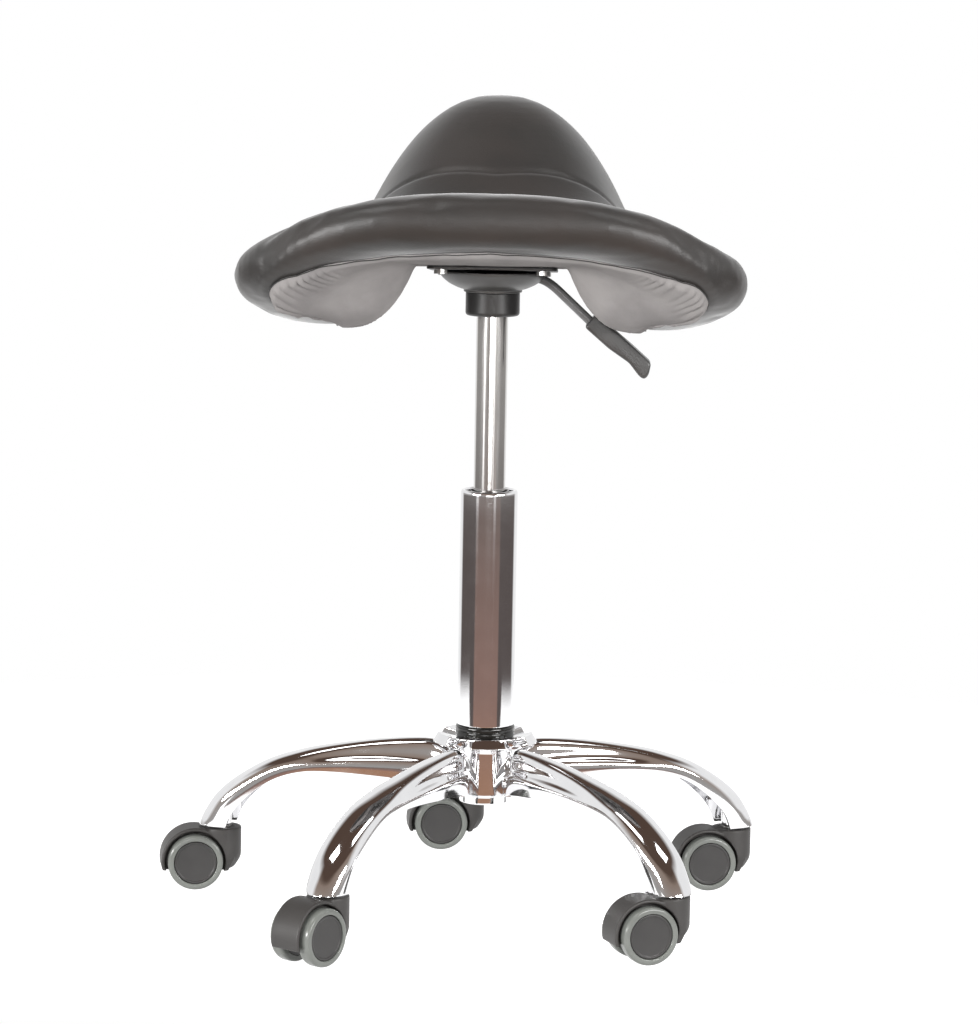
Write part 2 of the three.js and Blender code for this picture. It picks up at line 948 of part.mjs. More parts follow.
function boltHole(place, gap) {
  const reach = bolt.length + cutOverrun;
  const hole = uprightPin(bolt.radius + gap, -reach, reach, pinSides);
  hole.translate(place.x, place.y, 0);
  return onUnderside(hole);
}

function boltGeometry(place) {
  const headTop = plateBottom - seatGap;
  const geometry = turned(
    [
      [0, headTop - bolt.headThickness],
      [bolt.headRadius, headTop - bolt.headThickness],
      [bolt.headRadius, headTop],
      [bolt.radius, headTop],
      [bolt.radius, headTop + bolt.length],
      [0, headTop + bolt.length],
    ],
    pinSides,
  );
  geometry.translate(place.x, place.y, 0);
  return onUnderside(geometry);
}

// The lugs that carry the lever's cross pin, one on each side of the rod
function lugGeometry(side) {
  const near = lever.rodRadius + lever.slotGap;
  const far = near + lever.lugThickness;
  const lug = block(
    lever.pivotX - lever.lugHalfWidth,
    lever.pivotX + lever.lugHalfWidth,
    side > 0 ? near : -far,
    side > 0 ? far : -near,
    bowlFootTop,
    underHeight,
  );
  return lug;
}

function mechanismGeometry() {
  const reach = 2 * plate.halfWidth;
  const above = onUnderside(block(-reach, reach, -reach, reach, (plateTop + plateBottom) / 2, reach));
  const slotHalf = lever.rodRadius + lever.slotGap;
  const slotBottom = leverHeight - 2 * lever.rodRadius - lever.slotGap;
  const slotTop = leverHeight + lever.rodRadius + lever.slotGap / 4;
  const slot = block(lever.pivotX - lever.lugHalfWidth, reach, -slotHalf, slotHalf, slotBottom, slotTop);
  const pinHole = crossPin(lever.pivotPinRadius + runningGap, lever.pivotPinHalfLength + cutOverrun, pinSides);
  pinHole.rotateZ(radians(90));
  pinHole.translate(lever.pivotX, 0, leverHeight);
  const outside = turnedRing(
    [
      [bowl.rimRadius, bowlBottom],
      [reach, bowlBottom],
      [reach, rimTop],
      [bowl.rimRadius, rimTop],
    ],
    fineSides,
  );
  const lugs = cut(join(lugGeometry(1), lugGeometry(-1)), outside);
  const walls = cut(join(bowlGeometry(), lugs), above, slot, pinHole);
  return cut(join(walls, plateGeometry()), ...boltPlaces.map((place) => boltHole(place, runningGap)));
}

// Lever: a bent rod with a cross pin, and a flat paddle grip
function rodPath() {
  const gripDirection = gripAxis();
  const gripStart = new THREE.Vector3(lever.gripX, 0, gripHeight);
  const end = gripStart.clone().addScaledVector(gripDirection, lever.rodInGrip);
  const start = new THREE.Vector3(lever.innerEndX, 0, leverHeight);
  const bendStart = new THREE.Vector3(lever.pivotX, 0, leverHeight);
  const corner = new THREE.Vector3(lever.bendX, 0, leverHeight);
  const bendEnd = corner.clone().lerp(gripStart, lever.bendEndShare);
  const path = new THREE.CurvePath();
  path.add(new THREE.LineCurve3(start, bendStart));
  path.add(new THREE.QuadraticBezierCurve3(bendStart, corner, bendEnd));
  path.add(new THREE.LineCurve3(bendEnd, end));
  return path;
}

// Unit direction from the bend to the grip's far end
function gripAxis() {
  return new THREE.Vector3(lever.gripX - lever.bendX, 0, gripHeight - leverHeight).normalize();
}

function roundSection(radius, sides) {
  const section = new THREE.Shape();
  for (let i = 0; i < sides; i += 1) {
    const angle = (2 * Math.PI * i) / sides;
    const x = radius * Math.cos(angle);
    const y = radius * Math.sin(angle);
    if (i === 0) {
      section.moveTo(x, y);
    } else {
      section.lineTo(x, y);
    }
  }
  section.closePath();
  return section;
}

function leverRodGeometry() {
  const rodTube = new THREE.ExtrudeGeometry(roundSection(lever.rodRadius, pinSides), {
    steps: leverSteps,
    extrudePath: rodPath(),
    bevelEnabled: false,
  });
  const pin = crossPin(lever.pivotPinRadius, lever.pivotPinHalfLength, pinSides);
  pin.rotateZ(radians(90));
  pin.translate(lever.pivotX, 0, leverHeight);
  return join(rodTube, pin);
}

function leverGripGeometry() {
  const outline = new THREE.Shape();
  gripOutlineShares.forEach(([along, across], i) => {
    const x = along * lever.gripLength;
    const y = across * lever.gripHalfDepth;
    if (i === 0) {
      outline.moveTo(x, y);
    } else {
      outline.lineTo(x, y);
    }
  });
  outline.closePath();
  const body = new THREE.ExtrudeGeometry(outline, {
    depth: 2 * (lever.gripHalfWidth - lever.gripEdge),
    bevelEnabled: true,
    bevelThickness: lever.gripEdge,
    bevelSize: lever.gripEdge,
    bevelOffset: -lever.gripEdge,
    bevelSegments: 1,
  });
  body.translate(0, 0, -(lever.gripHalfWidth - lever.gripEdge));
  body.rotateX(radians(90));
  const bore = crossPin(lever.rodRadius + seatGap, lever.rodInGrip + seatGap, pinSides);
  const grip = cut(body, bore);
  const axis = gripAxis();
  grip.rotateY(Math.atan2(-axis.z, axis.x));
  grip.translate(lever.gripX, 0, gripHeight);
  return grip;
}

// Saddle seat: plan outline, and the heights of its top and its underside
function outlinePoint(angle, inset) {
  const along = Math.sign(Math.sin(angle)) * Math.abs(Math.sin(angle)) ** seat.outlinePower;
  const across = Math.sign(Math.cos(angle)) * Math.abs(Math.cos(angle)) ** seat.outlinePower;
  const y = seat.centreY + along * (seat.halfLength - inset);
  const taper = smooth((y - seat.taperStartY) / (seat.taperEndY - seat.taperStartY));
  const x = across * (lerp(seat.rearHalfWidth, seat.frontHalfWidth, taper) - inset);
  return [x, y];
}

function topHeight(x, y) {
  const rearward = Math.max(0, (seat.dipY - y) / (seat.dipY - seat.ridgeY));
  const noseStart = seat.pommelPeakY;
  const noseEnd = seat.centreY + seat.halfLength;
  const nose = Math.max(0, (y - noseStart) / (noseEnd - noseStart));
  const pommel = smooth((y - seat.pommelFootY) / (seat.pommelPeakY - seat.pommelFootY));
  const steepness = smooth((y - seat.crossDropStartY) / (seat.crossDropEndY - seat.crossDropStartY));
  const across = Math.abs(x) / seat.crossWidth;
  const rearFall = seat.rearCrossDrop * across ** seat.crossPower;
  const pommelShape = Math.min(1, across) ** seat.crossPower + seat.shoulderSlope * Math.max(0, across - 1);
  const pommelFall = seat.pommelCrossDrop * steepness * pommelShape;
  const crown = dipHeight + seat.ridgeRise * rearward ** 2 + seat.pommelRise * pommel;
  return crown - seat.pommelNoseDrop * nose ** 2 - rearFall - pommelFall;
}

// How far down a flap reaches, from 0 at its root to 1 at its outer edge; fuller behind the lever
function flapProfile(x, y, outer) {
  const behind = smooth((seat.bulgeFrontY - y) / seat.bulgeFrontLength);
  const bulge = behind * (1 - smooth((seat.bulgeRearY - y) / seat.bulgeRearLength));
  const along = Math.min(1, Math.max(0, (Math.abs(x) - seat.flapInnerX) / (outer - seat.flapInnerX)));
  const full = 1 - (1 - along) ** flapBulgePower;
  return (1 - bulge) * smooth(along) + bulge * full;
}

function bottomHeight(x, y) {
  const fromCentre = y - seat.flapCentreY;
  const reach = fromCentre < 0 ? seat.flapRearReach : seat.flapFrontReach;
  const amount = Math.max(0, 1 - (fromCentre / reach) ** 2);
  const spread = seat.flapRearSpread * smooth((seat.flapSpreadStartY - y) / seat.flapSpreadLength);
  const outer = seat.flapOuterX + spread;
  const flap = seat.flapDrop * amount * flapProfile(x, y, outer);
  const noseEnd = seat.centreY + seat.halfLength;
  const lift = seat.frontLift * smooth((y - seat.frontLiftStartY) / (noseEnd - seat.frontLiftStartY));
  return underHeight - Math.tan(underTilt) * y - flap + lift;
}

// A point on the seat's skin, moved inwards by inset; side is 1 on top and -1 underneath
function skinPoint(angle, share, side, inset) {
  const plain = outlinePoint(angle, 0);
  const moved = outlinePoint(angle, inset);
  const edge = share ** seat.edgePower;
  const x = share * lerp(plain[0], moved[0], edge);
  const y = seat.centreY + share * (lerp(plain[1], moved[1], edge) - seat.centreY);
  const top = topHeight(x, y) - inset;
  const bottom = bottomHeight(x, y) + inset;
  const rounding = Math.sqrt(1 - share ** seat.edgePower);
  const height = (top + bottom) / 2 + (side * rounding * (top - bottom)) / 2;
  return new THREE.Vector3(x, y, height);
}

function skinRing(share, side, inset, lift = 0) {
  const ring = [];
  for (let i = 0; i < seatSides; i += 1) {
    const point = skinPoint((2 * Math.PI * i) / seatSides, share, side, inset);
    point.z += lift;
    ring.push(point);
  }
  return ring;
}

function skinCentre(side, inset, lift = 0) {
  const point = skinPoint(0, 0, side, inset);
  point.z += lift;
  return [point];
}

// Rings over the top from the middle outwards, ending on the outline
function topRings(inset) {
  const shares = [...topRingShares, ...edgeRingShares, outlineShare];
  return [skinCentre(1, inset), ...shares.map((share) => skinRing(share, 1, inset))];
}

// Cover: a skin over the top and round the edge, open underneath
function coverGeometry() {
  const under = [...underRingShares, ...edgeRingShares].filter((share) => share >= coverOpeningShare).reverse();
  const outside = [...topRings(0), ...under.map((share) => skinRing(share, -1, 0))];
  const inside = [
    ...topRings(coverThickness),
    ...under.map((share) => skinRing(share, -1, coverThickness)),
  ];
  return ringBody([...outside, ...inside.reverse()]);
}

// Foam: fills the cover, with a step round the edge of the board
function foamGeometry() {
  const inset = coverThickness + seatGap;
  const overBoard = coverThickness + boardThickness + 2 * seatGap;
  const outer = [...edgeRingShares].reverse();
  return ringBody([
    ...topRings(inset),
    ...outer.map((share) => skinRing(share, -1, coverThickness + foamUnderGap)),
    skinRing(foamStepShare, -1, coverThickness + foamUnderGap),
    skinRing(foamStepShare, -1, 0, overBoard),
    ...[...underRingShares].reverse().map((share) => skinRing(share, -1, 0, overBoard)),
    skinCentre(-1, 0, overBoard),
  ]);
}

// A sheet that follows the underside between two heights above it
function underSheet(lowLift, highLift, edgeShare) {
  const shares = [...underRingShares, ...edgeRingShares].filter((share) => share <= edgeShare);
  return ringBody([
    skinCentre(-1, 0, highLift),
    ...shares.map((share) => skinRing(share, -1, 0, highLift)),
    ...[...shares].reverse().map((share) => skinRing(share, -1, 0, lowLift)),
    skinCentre(-1, 0, lowLift),
  ]);
}

function boardGeometry() {
  const low = coverThickness + seatGap;
  const sheet = underSheet(low, low + boardThickness, boardEdgeShare);
  return cut(sheet, ...boltPlaces.map((place) => boltHole(place, seatGap)));
}

function dustCoverGeometry() {
  const high = -seatGap;
  const sheet = underSheet(high - dustCoverThickness, high, dustCoverEdgeShare);
  return cut(sheet, ...boltPlaces.map((place) => boltHole(place, seatGap)));
}

// Assembly
addPiece(axisGroup, "base_hub", hubGeometry(), materials.chrome);
arms.forEach((arm) => {
  const mesh = addPiece(axisGroup, `arm_${arm.name}`, armGeometry(), materials.chrome);
  mesh.rotation.z = armDirection(arm.turn);
  addCaster(arm);
});
addPiece(axisGroup, "outer_column", columnGeometry(), materials.chrome);
addPiece(axisGroup, "column_foot_ring", footRingGeometry(), materials.blackPlastic);
addPiece(axisGroup, "guide_sleeve", sleeveGeometry(), materials.blackPlastic);
addPiece(axisGroup, "thrust_bearing", bearingGeometry(), materials.steel);
addPiece(axisGroup, "piston_rod", rodGeometry(), materials.steel);
addPiece(axisGroup, "gas_cylinder", cylinderGeometry(), materials.steel);
addPiece(axisGroup, "release_pin", releasePinGeometry(), materials.steel);
addPiece(axisGroup, "socket_collar", collarGeometry(), materials.blackPlastic);
addPiece(axisGroup, "seat_mechanism", mechanismGeometry(), materials.greyPaint);
boltPlaces.forEach((place) => {
  addPiece(axisGroup, `plate_bolt_${place.name}`, boltGeometry(place), materials.steel);
});
addPiece(axisGroup, "lever_rod", leverRodGeometry(), materials.blackPlastic);
addPiece(axisGroup, "lever_grip", leverGripGeometry(), materials.blackPlastic);
addPiece(axisGroup, "seat_board", boardGeometry(), materials.plywood);
addPiece(axisGroup, "seat_foam", foamGeometry(), materials.foam);
addPiece(axisGroup, "seat_cover", coverGeometry(), materials.vinyl);
addPiece(axisGroup, "dust_cover", dustCoverGeometry(), materials.dustCloth);

export default stool;
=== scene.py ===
"""Looks of the saddle stool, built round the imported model.

Lengths are in metres, +Z is up, the pommel points along +Y and the lever along +X.
"""

import bisect
import math

import bmesh
import bpy
from mathutils import Matrix, Vector, noise


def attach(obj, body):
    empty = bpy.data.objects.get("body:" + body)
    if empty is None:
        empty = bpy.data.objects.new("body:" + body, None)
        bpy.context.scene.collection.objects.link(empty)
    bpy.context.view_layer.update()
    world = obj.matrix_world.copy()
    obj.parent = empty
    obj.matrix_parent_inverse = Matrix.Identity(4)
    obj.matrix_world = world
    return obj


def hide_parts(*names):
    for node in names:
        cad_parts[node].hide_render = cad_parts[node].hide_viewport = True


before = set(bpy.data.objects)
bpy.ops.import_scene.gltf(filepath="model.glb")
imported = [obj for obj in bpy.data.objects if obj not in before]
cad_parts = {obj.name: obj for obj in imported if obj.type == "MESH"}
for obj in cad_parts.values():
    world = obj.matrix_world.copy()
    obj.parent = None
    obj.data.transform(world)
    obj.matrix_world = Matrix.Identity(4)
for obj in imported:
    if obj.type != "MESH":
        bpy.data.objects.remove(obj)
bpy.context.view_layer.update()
scene = bpy.context.scene

# Column axis and shared clearances
column_x = 0.0254
column_y = -0.0003
seat_gap = 0.0003
running_gap = 0.0003
support_gap = 0.0004
weld_distance = 1e-6
bevel_angle = 0.9

# Camera, measured from the column's foot
camera_distance = 3.382
camera_height = 0.796
camera_turn_deg = 1.5
camera_pitch_deg = 7.48
camera_roll_deg = 1.02
camera_lens_mm = 136.5
camera_sensor_mm = 36

# Base
arm_direction_shift_deg = 5.65
half_arm_step_deg = 36
arm_root = 0.0224
arm_reach = 0.264
arm_top_height = 0.148
arm_half_width = 0.0185
arm_wall = 0.0028
arm_tip_height = 0.0567
arm_rim_radius = 0.0011
arm_rim_angle_deg = 50
socket_radius = 0.0094
socket_top = 0.074
socket_foot_edge = 0.0005
socket_rim_edge = 0.001
stem_radius = 0.0055
stem_hole_radius = stem_radius + running_gap
caster_circle = 0.2437
arm_row_shares = [
    (0, 0.845, 0.17, 0.46, 0),
    (0.035, 0.926, 0.24, 0.52, 0),
    (0.073, 0.976, 0.262, 0.62, 0),
    (0.131, 0.998, 0.262, 0.77, 0),
    (0.301, 0.975, 0.216, 0.97, 0),
    (0.497, 0.92, 0.152, 0.97, 5),
    (0.618, 0.872, 0.122, 0.98, 13),
    (0.732, 0.806, 0.122, 1, 24),
    (0.844, 0.7, 0.14, 1.02, 39),
    (0.926, 0.588, 0.162, 1.02, 51),
    (0.975, 0.473, 0.182, 1, 62),
    (1, 0.385, 0.196, 0.98, 70),
    (1.013, 0.31, 0.2, 0.97, 72),
]
ribbed_section_shares = [(0.34, 0.03), (0.6, 0.14), (0.68, 0.46), (0.98, 0.56), (0.97, 1)]
plain_section_shares = [(0.45, 0.05), (0.8, 0.22), (0.97, 0.5), (1, 0.75), (1, 1)]
rib_fade_share = (0.344, 0.672)
arm_rows_between = 5

arms = [
    ("rear_left", -36, 52.6),
    ("rear_right", 36, 23.1),
    ("left", -108, 10),
    ("right", 108, 12.8),
    ("front", 180, 7.9),
]

# Hub
hub_bottom = 0.094
hub_ring_top = 0.1015
hub_ring_radius = 0.022
hub_body_radius = 0.024
hub_step = 0.141
hub_step_rise = 0.003
hub_collar_radius = 0.026
hub_top = 0.1526
hub_rounding = 0.0012
hub_bore_edge = 0.0004
hub_wall_middle = 0.0218
petal_reach = 0.0463
petal_lean = 0.0048
petal_rim = (0.148, 0.156)
petal_root = (0.142, 0.1516)
petal_bow = 0.0012
petal_bow_rounding = 0.006
petal_half_angle_deg = 20
petal_rounding = 0.0009
petal_bevel_angle = 0.6
petal_steps = 24

# Column and lift
column_radius = 0.025
column_bore = 0.0209
column_top = 0.372
column_shoulder = 0.1633
column_taper_radius = 0.0191
column_foot_radius = 0.0175
column_bottom = 0.098
column_wall = 0.0024
column_lip = 0.0032
column_foot_edge = 0.0005
column_shoulder_edge = 0.0008
ring_radius = 0.0261
ring_groove = 0.0009
ring_groove_edge = 0.0016
ring_edge = 0.0018
cylinder_radius = 0.014
cylinder_bottom = 0.31
cylinder_top = 0.55
cylinder_chamfer = 0.001
pin_hole_radius = 0.0033

# Mechanism
collar_radius = 0.0237
collar_bottom = 0.525
collar_top = 0.5454
collar_rounding = 0.0034
collar_foot_edge = 0.0005
collar_top_edge = 0.0006
bowl_bottom = 0.5457
bowl_foot_radius = 0.0255
bowl_foot_top = 0.548
bowl_foot_edge = 0.0008
bowl_hole_edge = 0.0003
bowl_rim_radius = 0.049
bowl_wall = 0.0026
bowl_slope_rounding = 0.004
bowl_inner_rounding = 0.002
bowl_slope_shares = [(0.18, 0.06), (0.56, 0.32), (0.82, 0.64), (1, 1)]
plate_below_seat = 0.0026
plate_half = 0.056
plate_thickness = 0.003
plate_corner = 0.008
plate_edge = 0.0006

# Lever
lever_height = 0.558
lever_rod_radius = 0.004
lever_inner_x = -0.006
lever_pivot_x = 0.038
lever_bend_x = 0.046
lever_bend_end_share = 0.3
lever_bend_steps = 10
lever_grip_x = 0.0845
lever_grip_height = 0.5225
lever_rod_in_grip = 0.034
lever_pin_radius = 0.0025
lever_pin_half = 0.012
lever_slot_gap = 0.0016
lug_half_width = 0.005
grip_length = 0.07
grip_half_depth = 0.0076
grip_half_width = 0.012
grip_edge = 0.0024
grip_corner_rounding = 0.003
grip_outline_shares = [
    (0, 1.04),
    (0.6, 1.37),
    (0.92, 1.43),
    (1, 0.24),
    (1, -0.46),
    (0.93, -0.62),
    (0.72, -0.31),
    (0.41, -0.74),
    (0.01, -0.87),
]

# Casters
wheel_radius = 0.0248
wheel_trail = 0.0245
wheel_inner_face = 0.0092
wheel_outer_face = 0.0215
tyre_thickness = 0.0054
tyre_round = 0.0034
tyre_inner_edge = 0.0005
tyre_outer_edge = 0.0012
core_recess = 0.0008
core_end_wall = 0.003
disc_inner_edge = 0.0004
disc_rim_edge = 0.0008
disc_step = 0.0005
disc_step_edge = 0.0006
disc_step_shares = (0.9, 0.88)
axle_radius = 0.0039
web_half_width = 0.0084
hood_half_width = 0.015
hood_clearance = 0.0022
hood_wall = 0.0034
hood_angles_deg = (195, 60)
hood_steps = 24
neck_radius = 0.018
neck_edge = 0.0012
neck_rounding = 0.004
neck_base = 0.027
neck_foot_height = 0.016
neck_foot_radius = 0.011
neck_top = 0.0546
belly_height = 0.013
hood_voxel = 0.0008

# Seat
seat = {
    "centre_y": 0.005,
    "half_length": 0.19,
    "rear_half_width": 0.246,
    "front_half_width": 0.153,
    "taper_y": (-0.13, 0.11),
    "outline_power": 0.75,
    "edge_power": 11,
    "dip_height": 0.617,
    "dip_y": -0.025,
    "ridge_y": -0.15,
    "ridge_rise": 0.024,
    "pommel_y": (-0.02, 0.15),
    "pommel_rise": 0.1,
    "pommel_nose_drop": 0.026,
    "cross_width": 0.119,
    "cross_power": 2.2,
    "rear_cross_drop": 0.008,
    "pommel_cross_drop": 0.092,
    "cross_drop_y": (-0.03, 0.14),
    "shoulder_slope": 1.3,
    "under_height": 0.5696,
    "under_tilt_deg": 4.6,
    "flap_drop": 0.057,
    "flap_centre_y": 0.005,
    "flap_rear_reach": 0.23,
    "flap_front_reach": 0.16,
    "flap_inner_x": 0.07,
    "flap_outer_x": 0.124,
    "flap_rear_spread": 0.11,
    "flap_spread_start_y": -0.05,
    "flap_spread_length": 0.12,
    "bulge_front_y": -0.02,
    "bulge_front_length": 0.04,
    "bulge_rear_y": -0.075,
    "bulge_rear_length": 0.045,
    "bulge_power": 3.0,
    "bulge_inner_x": 0.066,
    "front_lift_start_y": 0.07,
    "front_lift": 0.078,
    "hollow_place": (0.115, 0.007),
    "hollow_reach": 0.025,
    "hollow_depth": 0.003,
}
seat_sides = 144
spot_fade_share = 1.6
halving_start_share = 0.0001
halvings = 24
cushion_rows = (44, 40)
cushion_row_power = 2
cover_inset = 0.0035
under_inset = 0.001
inset_change_share = 0.08
cover_voxel = 0.005
cover_swell_limit = 0.004
cloth_pressure = 4
cloth_frames = 20
cloth_quality = 5
pin_share = 0.8
pin_beyond_cloth = 1.04
board_inset = 0.0058
board_thickness = 0.009
board_edge_share = 0.855
board_rings = 24
seam_depth = 0.0016
seam_half_width = 0.0028
pommel_seam_y = 0.042
pommel_seam_sweep = 0.028
pommel_seam_power = 1.3
dust_drop = 0.0009
cloth_slack = 0.0007
dust_tuck = 0.0012
dust_tuck_width = 0.005
dust_thickness = 0.0012
dust_edge_points = [
    (0, -0.167),
    (0.044, -0.162),
    (0.078, -0.153),
    (0.1, -0.147),
    (0.129, -0.149),
    (0.153, -0.143),
    (0.174, -0.136),
    (0.184, -0.122),
    (0.18, -0.108),
    (0.167, -0.096),
    (0.148, -0.084),
    (0.135, -0.062),
    (0.133, -0.02),
    (0.134, 0.03),
    (0.128, 0.08),
    (0.112, 0.124),
    (0.076, 0.156),
    (0.036, 0.168),
    (0, 0.17),
]
dust_steps = 20
dust_rows = 60
dust_row_power = 1.5
slack_power = 6
dust_wobble = 0.0014
pleat_place = (0.178, -0.108)
pleat_centre_x = 0.06
pleat_radius = 0.14
pleat_spread = 0.045
pleat_length = 0.038
pleat_spacing = 0.0058
pleat_wander = 0.0045
pleat_depth = 0.0014
scallop_depth = 0.0006
fold_start = (0.092, -0.067)
fold_end = (0.131, -0.06)
fold_height = 0.0032
fold_front_width = 0.0045
fold_rear_width = 0.016
fold_groove = 0.005
fold_reach_shares = (-0.25, 1.1)
fold_fade_share = 0.35
seam_groove = 0.0007
seam_groove_width = 0.003
# The black seam cord along the cloth's edge is partly the seam and partly a painted shadow line where the
# cloth meets the cover
seam_cord_radius = 0.0005
seam_cord_out_share = 1.004
seam_cord_sink_share = 0.4
seam_cord_wander = 0.0008

# Scale and layer of the noise that makes the cloth uneven
wobble_noise = (45, 0.5)
wander_noise = (40, 0.9)
pleat_noise = (60, 0.2)
slack_noise = (20, 0.3)
cord_noise = (60, 0)


# Small helpers
def smooth(value):
    value = min(1, max(0, value))
    return value * value * (3 - 2 * value)


def mix(a, b, t):
    return a + (b - a) * t


def ramp(value, limits):
    return smooth((value - limits[0]) / (limits[1] - limits[0]))


def signed_power(value, power):
    return math.copysign(abs(value) ** power, value)


def catmull(a, b, c, d, t):
    return 0.5 * (2 * b + (c - a) * t + (2 * a - 5 * b + 4 * c - d) * t**2 + (3 * b - a - 3 * c + d) * t**3)


def smooth_rows(rows, between):
    """Rows of numbers with smooth rows filled in between."""
    result = []
    last = len(rows) - 1
    for i in range(last):
        a = rows[max(0, i - 1)]
        b = rows[i]
        c = rows[i + 1]
        d = rows[min(last, i + 2)]
        for k in range(between):
            result.append([catmull(*values, k / between) for values in zip(a, b, c, d)])
    result.append(list(rows[last]))
    return result


def corner_cut(points, times):
    """A line of points with its corners rounded, its ends kept."""
    for _ in range(times):
        cut = [points[0]]
        for p, q in zip(points, points[1:]):
            cut.append([mix(a, b, 0.25) for a, b in zip(p, q)])
            cut.append([mix(a, b, 0.75) for a, b in zip(p, q)])
        points = [*cut, points[-1]]
    return points


def rounded(points, closed, steps=4):
    """Points of x, y and rounding become a line of x, y with curved corners."""
    result = []
    count = len(points)
    for i, (x, y, rounding) in enumerate(points):
        end = not closed and i in (0, count - 1)
        if rounding == 0 or end:
            result.append((x, y))
            continue
        corner = Vector((x, y))
        before = Vector(points[i - 1][:2]) - corner
        after = Vector(points[(i + 1) % count][:2]) - corner
        reach_before = min(rounding, before.length / 2)
        reach_after = min(rounding, after.length / 2)
        start = corner + before.normalized() * reach_before
        finish = corner + after.normalized() * reach_after
        for k in range(steps + 1):
            t = k / steps
            point = start * (1 - t) ** 2 + corner * 2 * t * (1 - t) + finish * t**2
            result.append((point.x, point.y))
    return result


def mesh_of(name, verts, faces):
    mesh = bpy.data.meshes.new(name)
    mesh.from_pydata([tuple(v) for v in verts], [], faces)
    mesh.update()
    return mesh


def shade(mesh, angle_deg=40):
    mesh.shade_smooth()
    mesh.set_sharp_from_angle(angle=math.radians(angle_deg))


def add_object(name, mesh, material=None, place=None):
    obj = bpy.data.objects.new(name, mesh)
    scene.collection.objects.link(obj)
    if material is not None:
        mesh.materials.clear()
        mesh.materials.append(material)
    if place is not None:
        obj.matrix_world = place
    return obj


def piece(name, mesh, material, body, place=None, replaces=()):
    """A finished piece: its looks, the body it rides on and the solids it stands for."""
    shade(mesh)
    obj = add_object(name, mesh, material, place)
    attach(obj, body)
    if replaces:
        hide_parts(*replaces)
    return obj


def with_supports(profile, closed):
    """The profile with a point just inside both ends of each long side, so that walls shade true."""
    result = []
    ends = [*profile[1:], profile[0]] if closed else profile[1:]
    for start, end in zip(profile, ends):
        result.append(start)
        length = math.dist(start, end)
        if length > 5 * support_gap:
            part = support_gap / length
            result.append(tuple(mix(a, b, part) for a, b in zip(start, end)))
            result.append(tuple(mix(b, a, part) for a, b in zip(start, end)))
    return result if closed else [*result, profile[-1]]


def circle(sides):
    """The cosine and sine of each step round a circle."""
    angles = [2 * math.pi * k / sides for k in range(sides)]
    return [(math.cos(angle), math.sin(angle)) for angle in angles]


def lathe(name, corners, steps=4, sides=96, closed=True):
    """A mesh turned about +Z from corners of radius, height and rounding."""
    rows = []
    for radius, height in with_supports(rounded(corners, closed, steps), closed):
        if radius < weld_distance:
            rows.append([(0, 0, height)])
        else:
            rows.append([(radius * cosine, radius * sine, height) for cosine, sine in circle(sides)])
    return mesh_of_rows(name, rows, closed)


def mesh_of_rows(name, rows, closed=False, capped=False):
    """A mesh through rows of points, where a row of one point closes an end."""
    verts = []
    rings = []
    for row in rows:
        rings.append(list(range(len(verts), len(verts) + len(row))))
        verts += row
    pairs = list(zip(rings, rings[1:]))
    if closed:
        pairs.append((rings[-1], rings[0]))
    faces = []
    for low, high in pairs:
        faces += ring_faces(low, high)
    if capped:
        faces += [tuple(rings[0]), tuple(rings[-1])]
    return tidy(mesh_of(name, verts, faces))


def ring_faces(low, high):
    """Faces between two rings of vertices, either of which can be one vertex."""
    count = max(len(low), len(high))
    faces = []
    for k in range(count):
        n = (k + 1) % count
        if len(low) == 1 and len(high) == 1:
            return []
        if len(low) == 1:
            faces.append((low[0], high[n], high[k]))
        elif len(high) == 1:
            faces.append((low[k], low[n], high[0]))
        else:
            faces.append((low[k], low[n], high[n], high[k]))
    return faces


def tidy(mesh):
    """Welds doubled points and makes all faces point outwards."""
    work = bmesh.new()
    work.from_mesh(mesh)
    bmesh.ops.remove_doubles(work, verts=work.verts, dist=weld_distance)
    bmesh.ops.recalc_face_normals(work, faces=work.faces)
    work.to_mesh(mesh)
    work.free()
    return mesh


def joined(name, parts):
    """One mesh from pairs of a mesh and its place."""
    work = bmesh.new()
    for mesh, place in parts:
        part = mesh.copy()
        part.transform(place)
        work.from_mesh(part)
        bpy.data.meshes.remove(part)
    result = bpy.data.meshes.new(name)
    work.to_mesh(result)
    work.free()
    return result


def prism(name, outline, half_depth):
    """An outline in X and Z, given thickness along Y on both sides of zero."""
    count = len(outline)
    verts = [(x, -half_depth, z) for x, z in outline] + [(x, half_depth, z) for x, z in outline]
    faces = [tuple(range(count)), tuple(range(2 * count - 1, count - 1, -1))]
    faces += [(i, (i + 1) % count, count + (i + 1) % count, count + i) for i in range(count)]
    return tidy(mesh_of(name, verts, faces))


def tube(name, points, radius, sides, closed=False):
    """A round tube along a line of points."""
    points = [Vector(p) for p in points]
    count = len(points)
    rows = []
    normal = None
    for i, point in enumerate(points):
        before = points[i - 1] if closed or i > 0 else point
        after = points[(i + 1) % count] if closed or i + 1 < count else point
        along = (after - before).normalized()
        if normal is None:
            normal = along.orthogonal().normalized()
        normal = (normal - along * normal.dot(along)).normalized()
        other = along.cross(normal)
        rows.append([point + (normal * cosine + other * sine) * radius for cosine, sine in circle(sides)])
    return mesh_of_rows(name, rows, closed, not closed)


def with_modifiers(mesh, *settings):
    """The mesh after modifiers given as a type and a dict of values."""
    obj = add_object("work", mesh)
    for kind, values in settings:
        modifier = obj.modifiers.new(kind.lower(), kind)
        for key, value in values.items():
            setattr(modifier, key, value)
    graph = bpy.context.evaluated_depsgraph_get()
    result = bpy.data.meshes.new_from_object(obj.evaluated_get(graph))
    bpy.data.objects.remove(obj)
    return result


def bevel(width, segments, angle):
    """A bevel for with_modifiers, on edges that turn by more than the angle."""
    return "BEVEL", {"width": width, "segments": segments, "limit_method": "ANGLE", "angle_limit": angle}


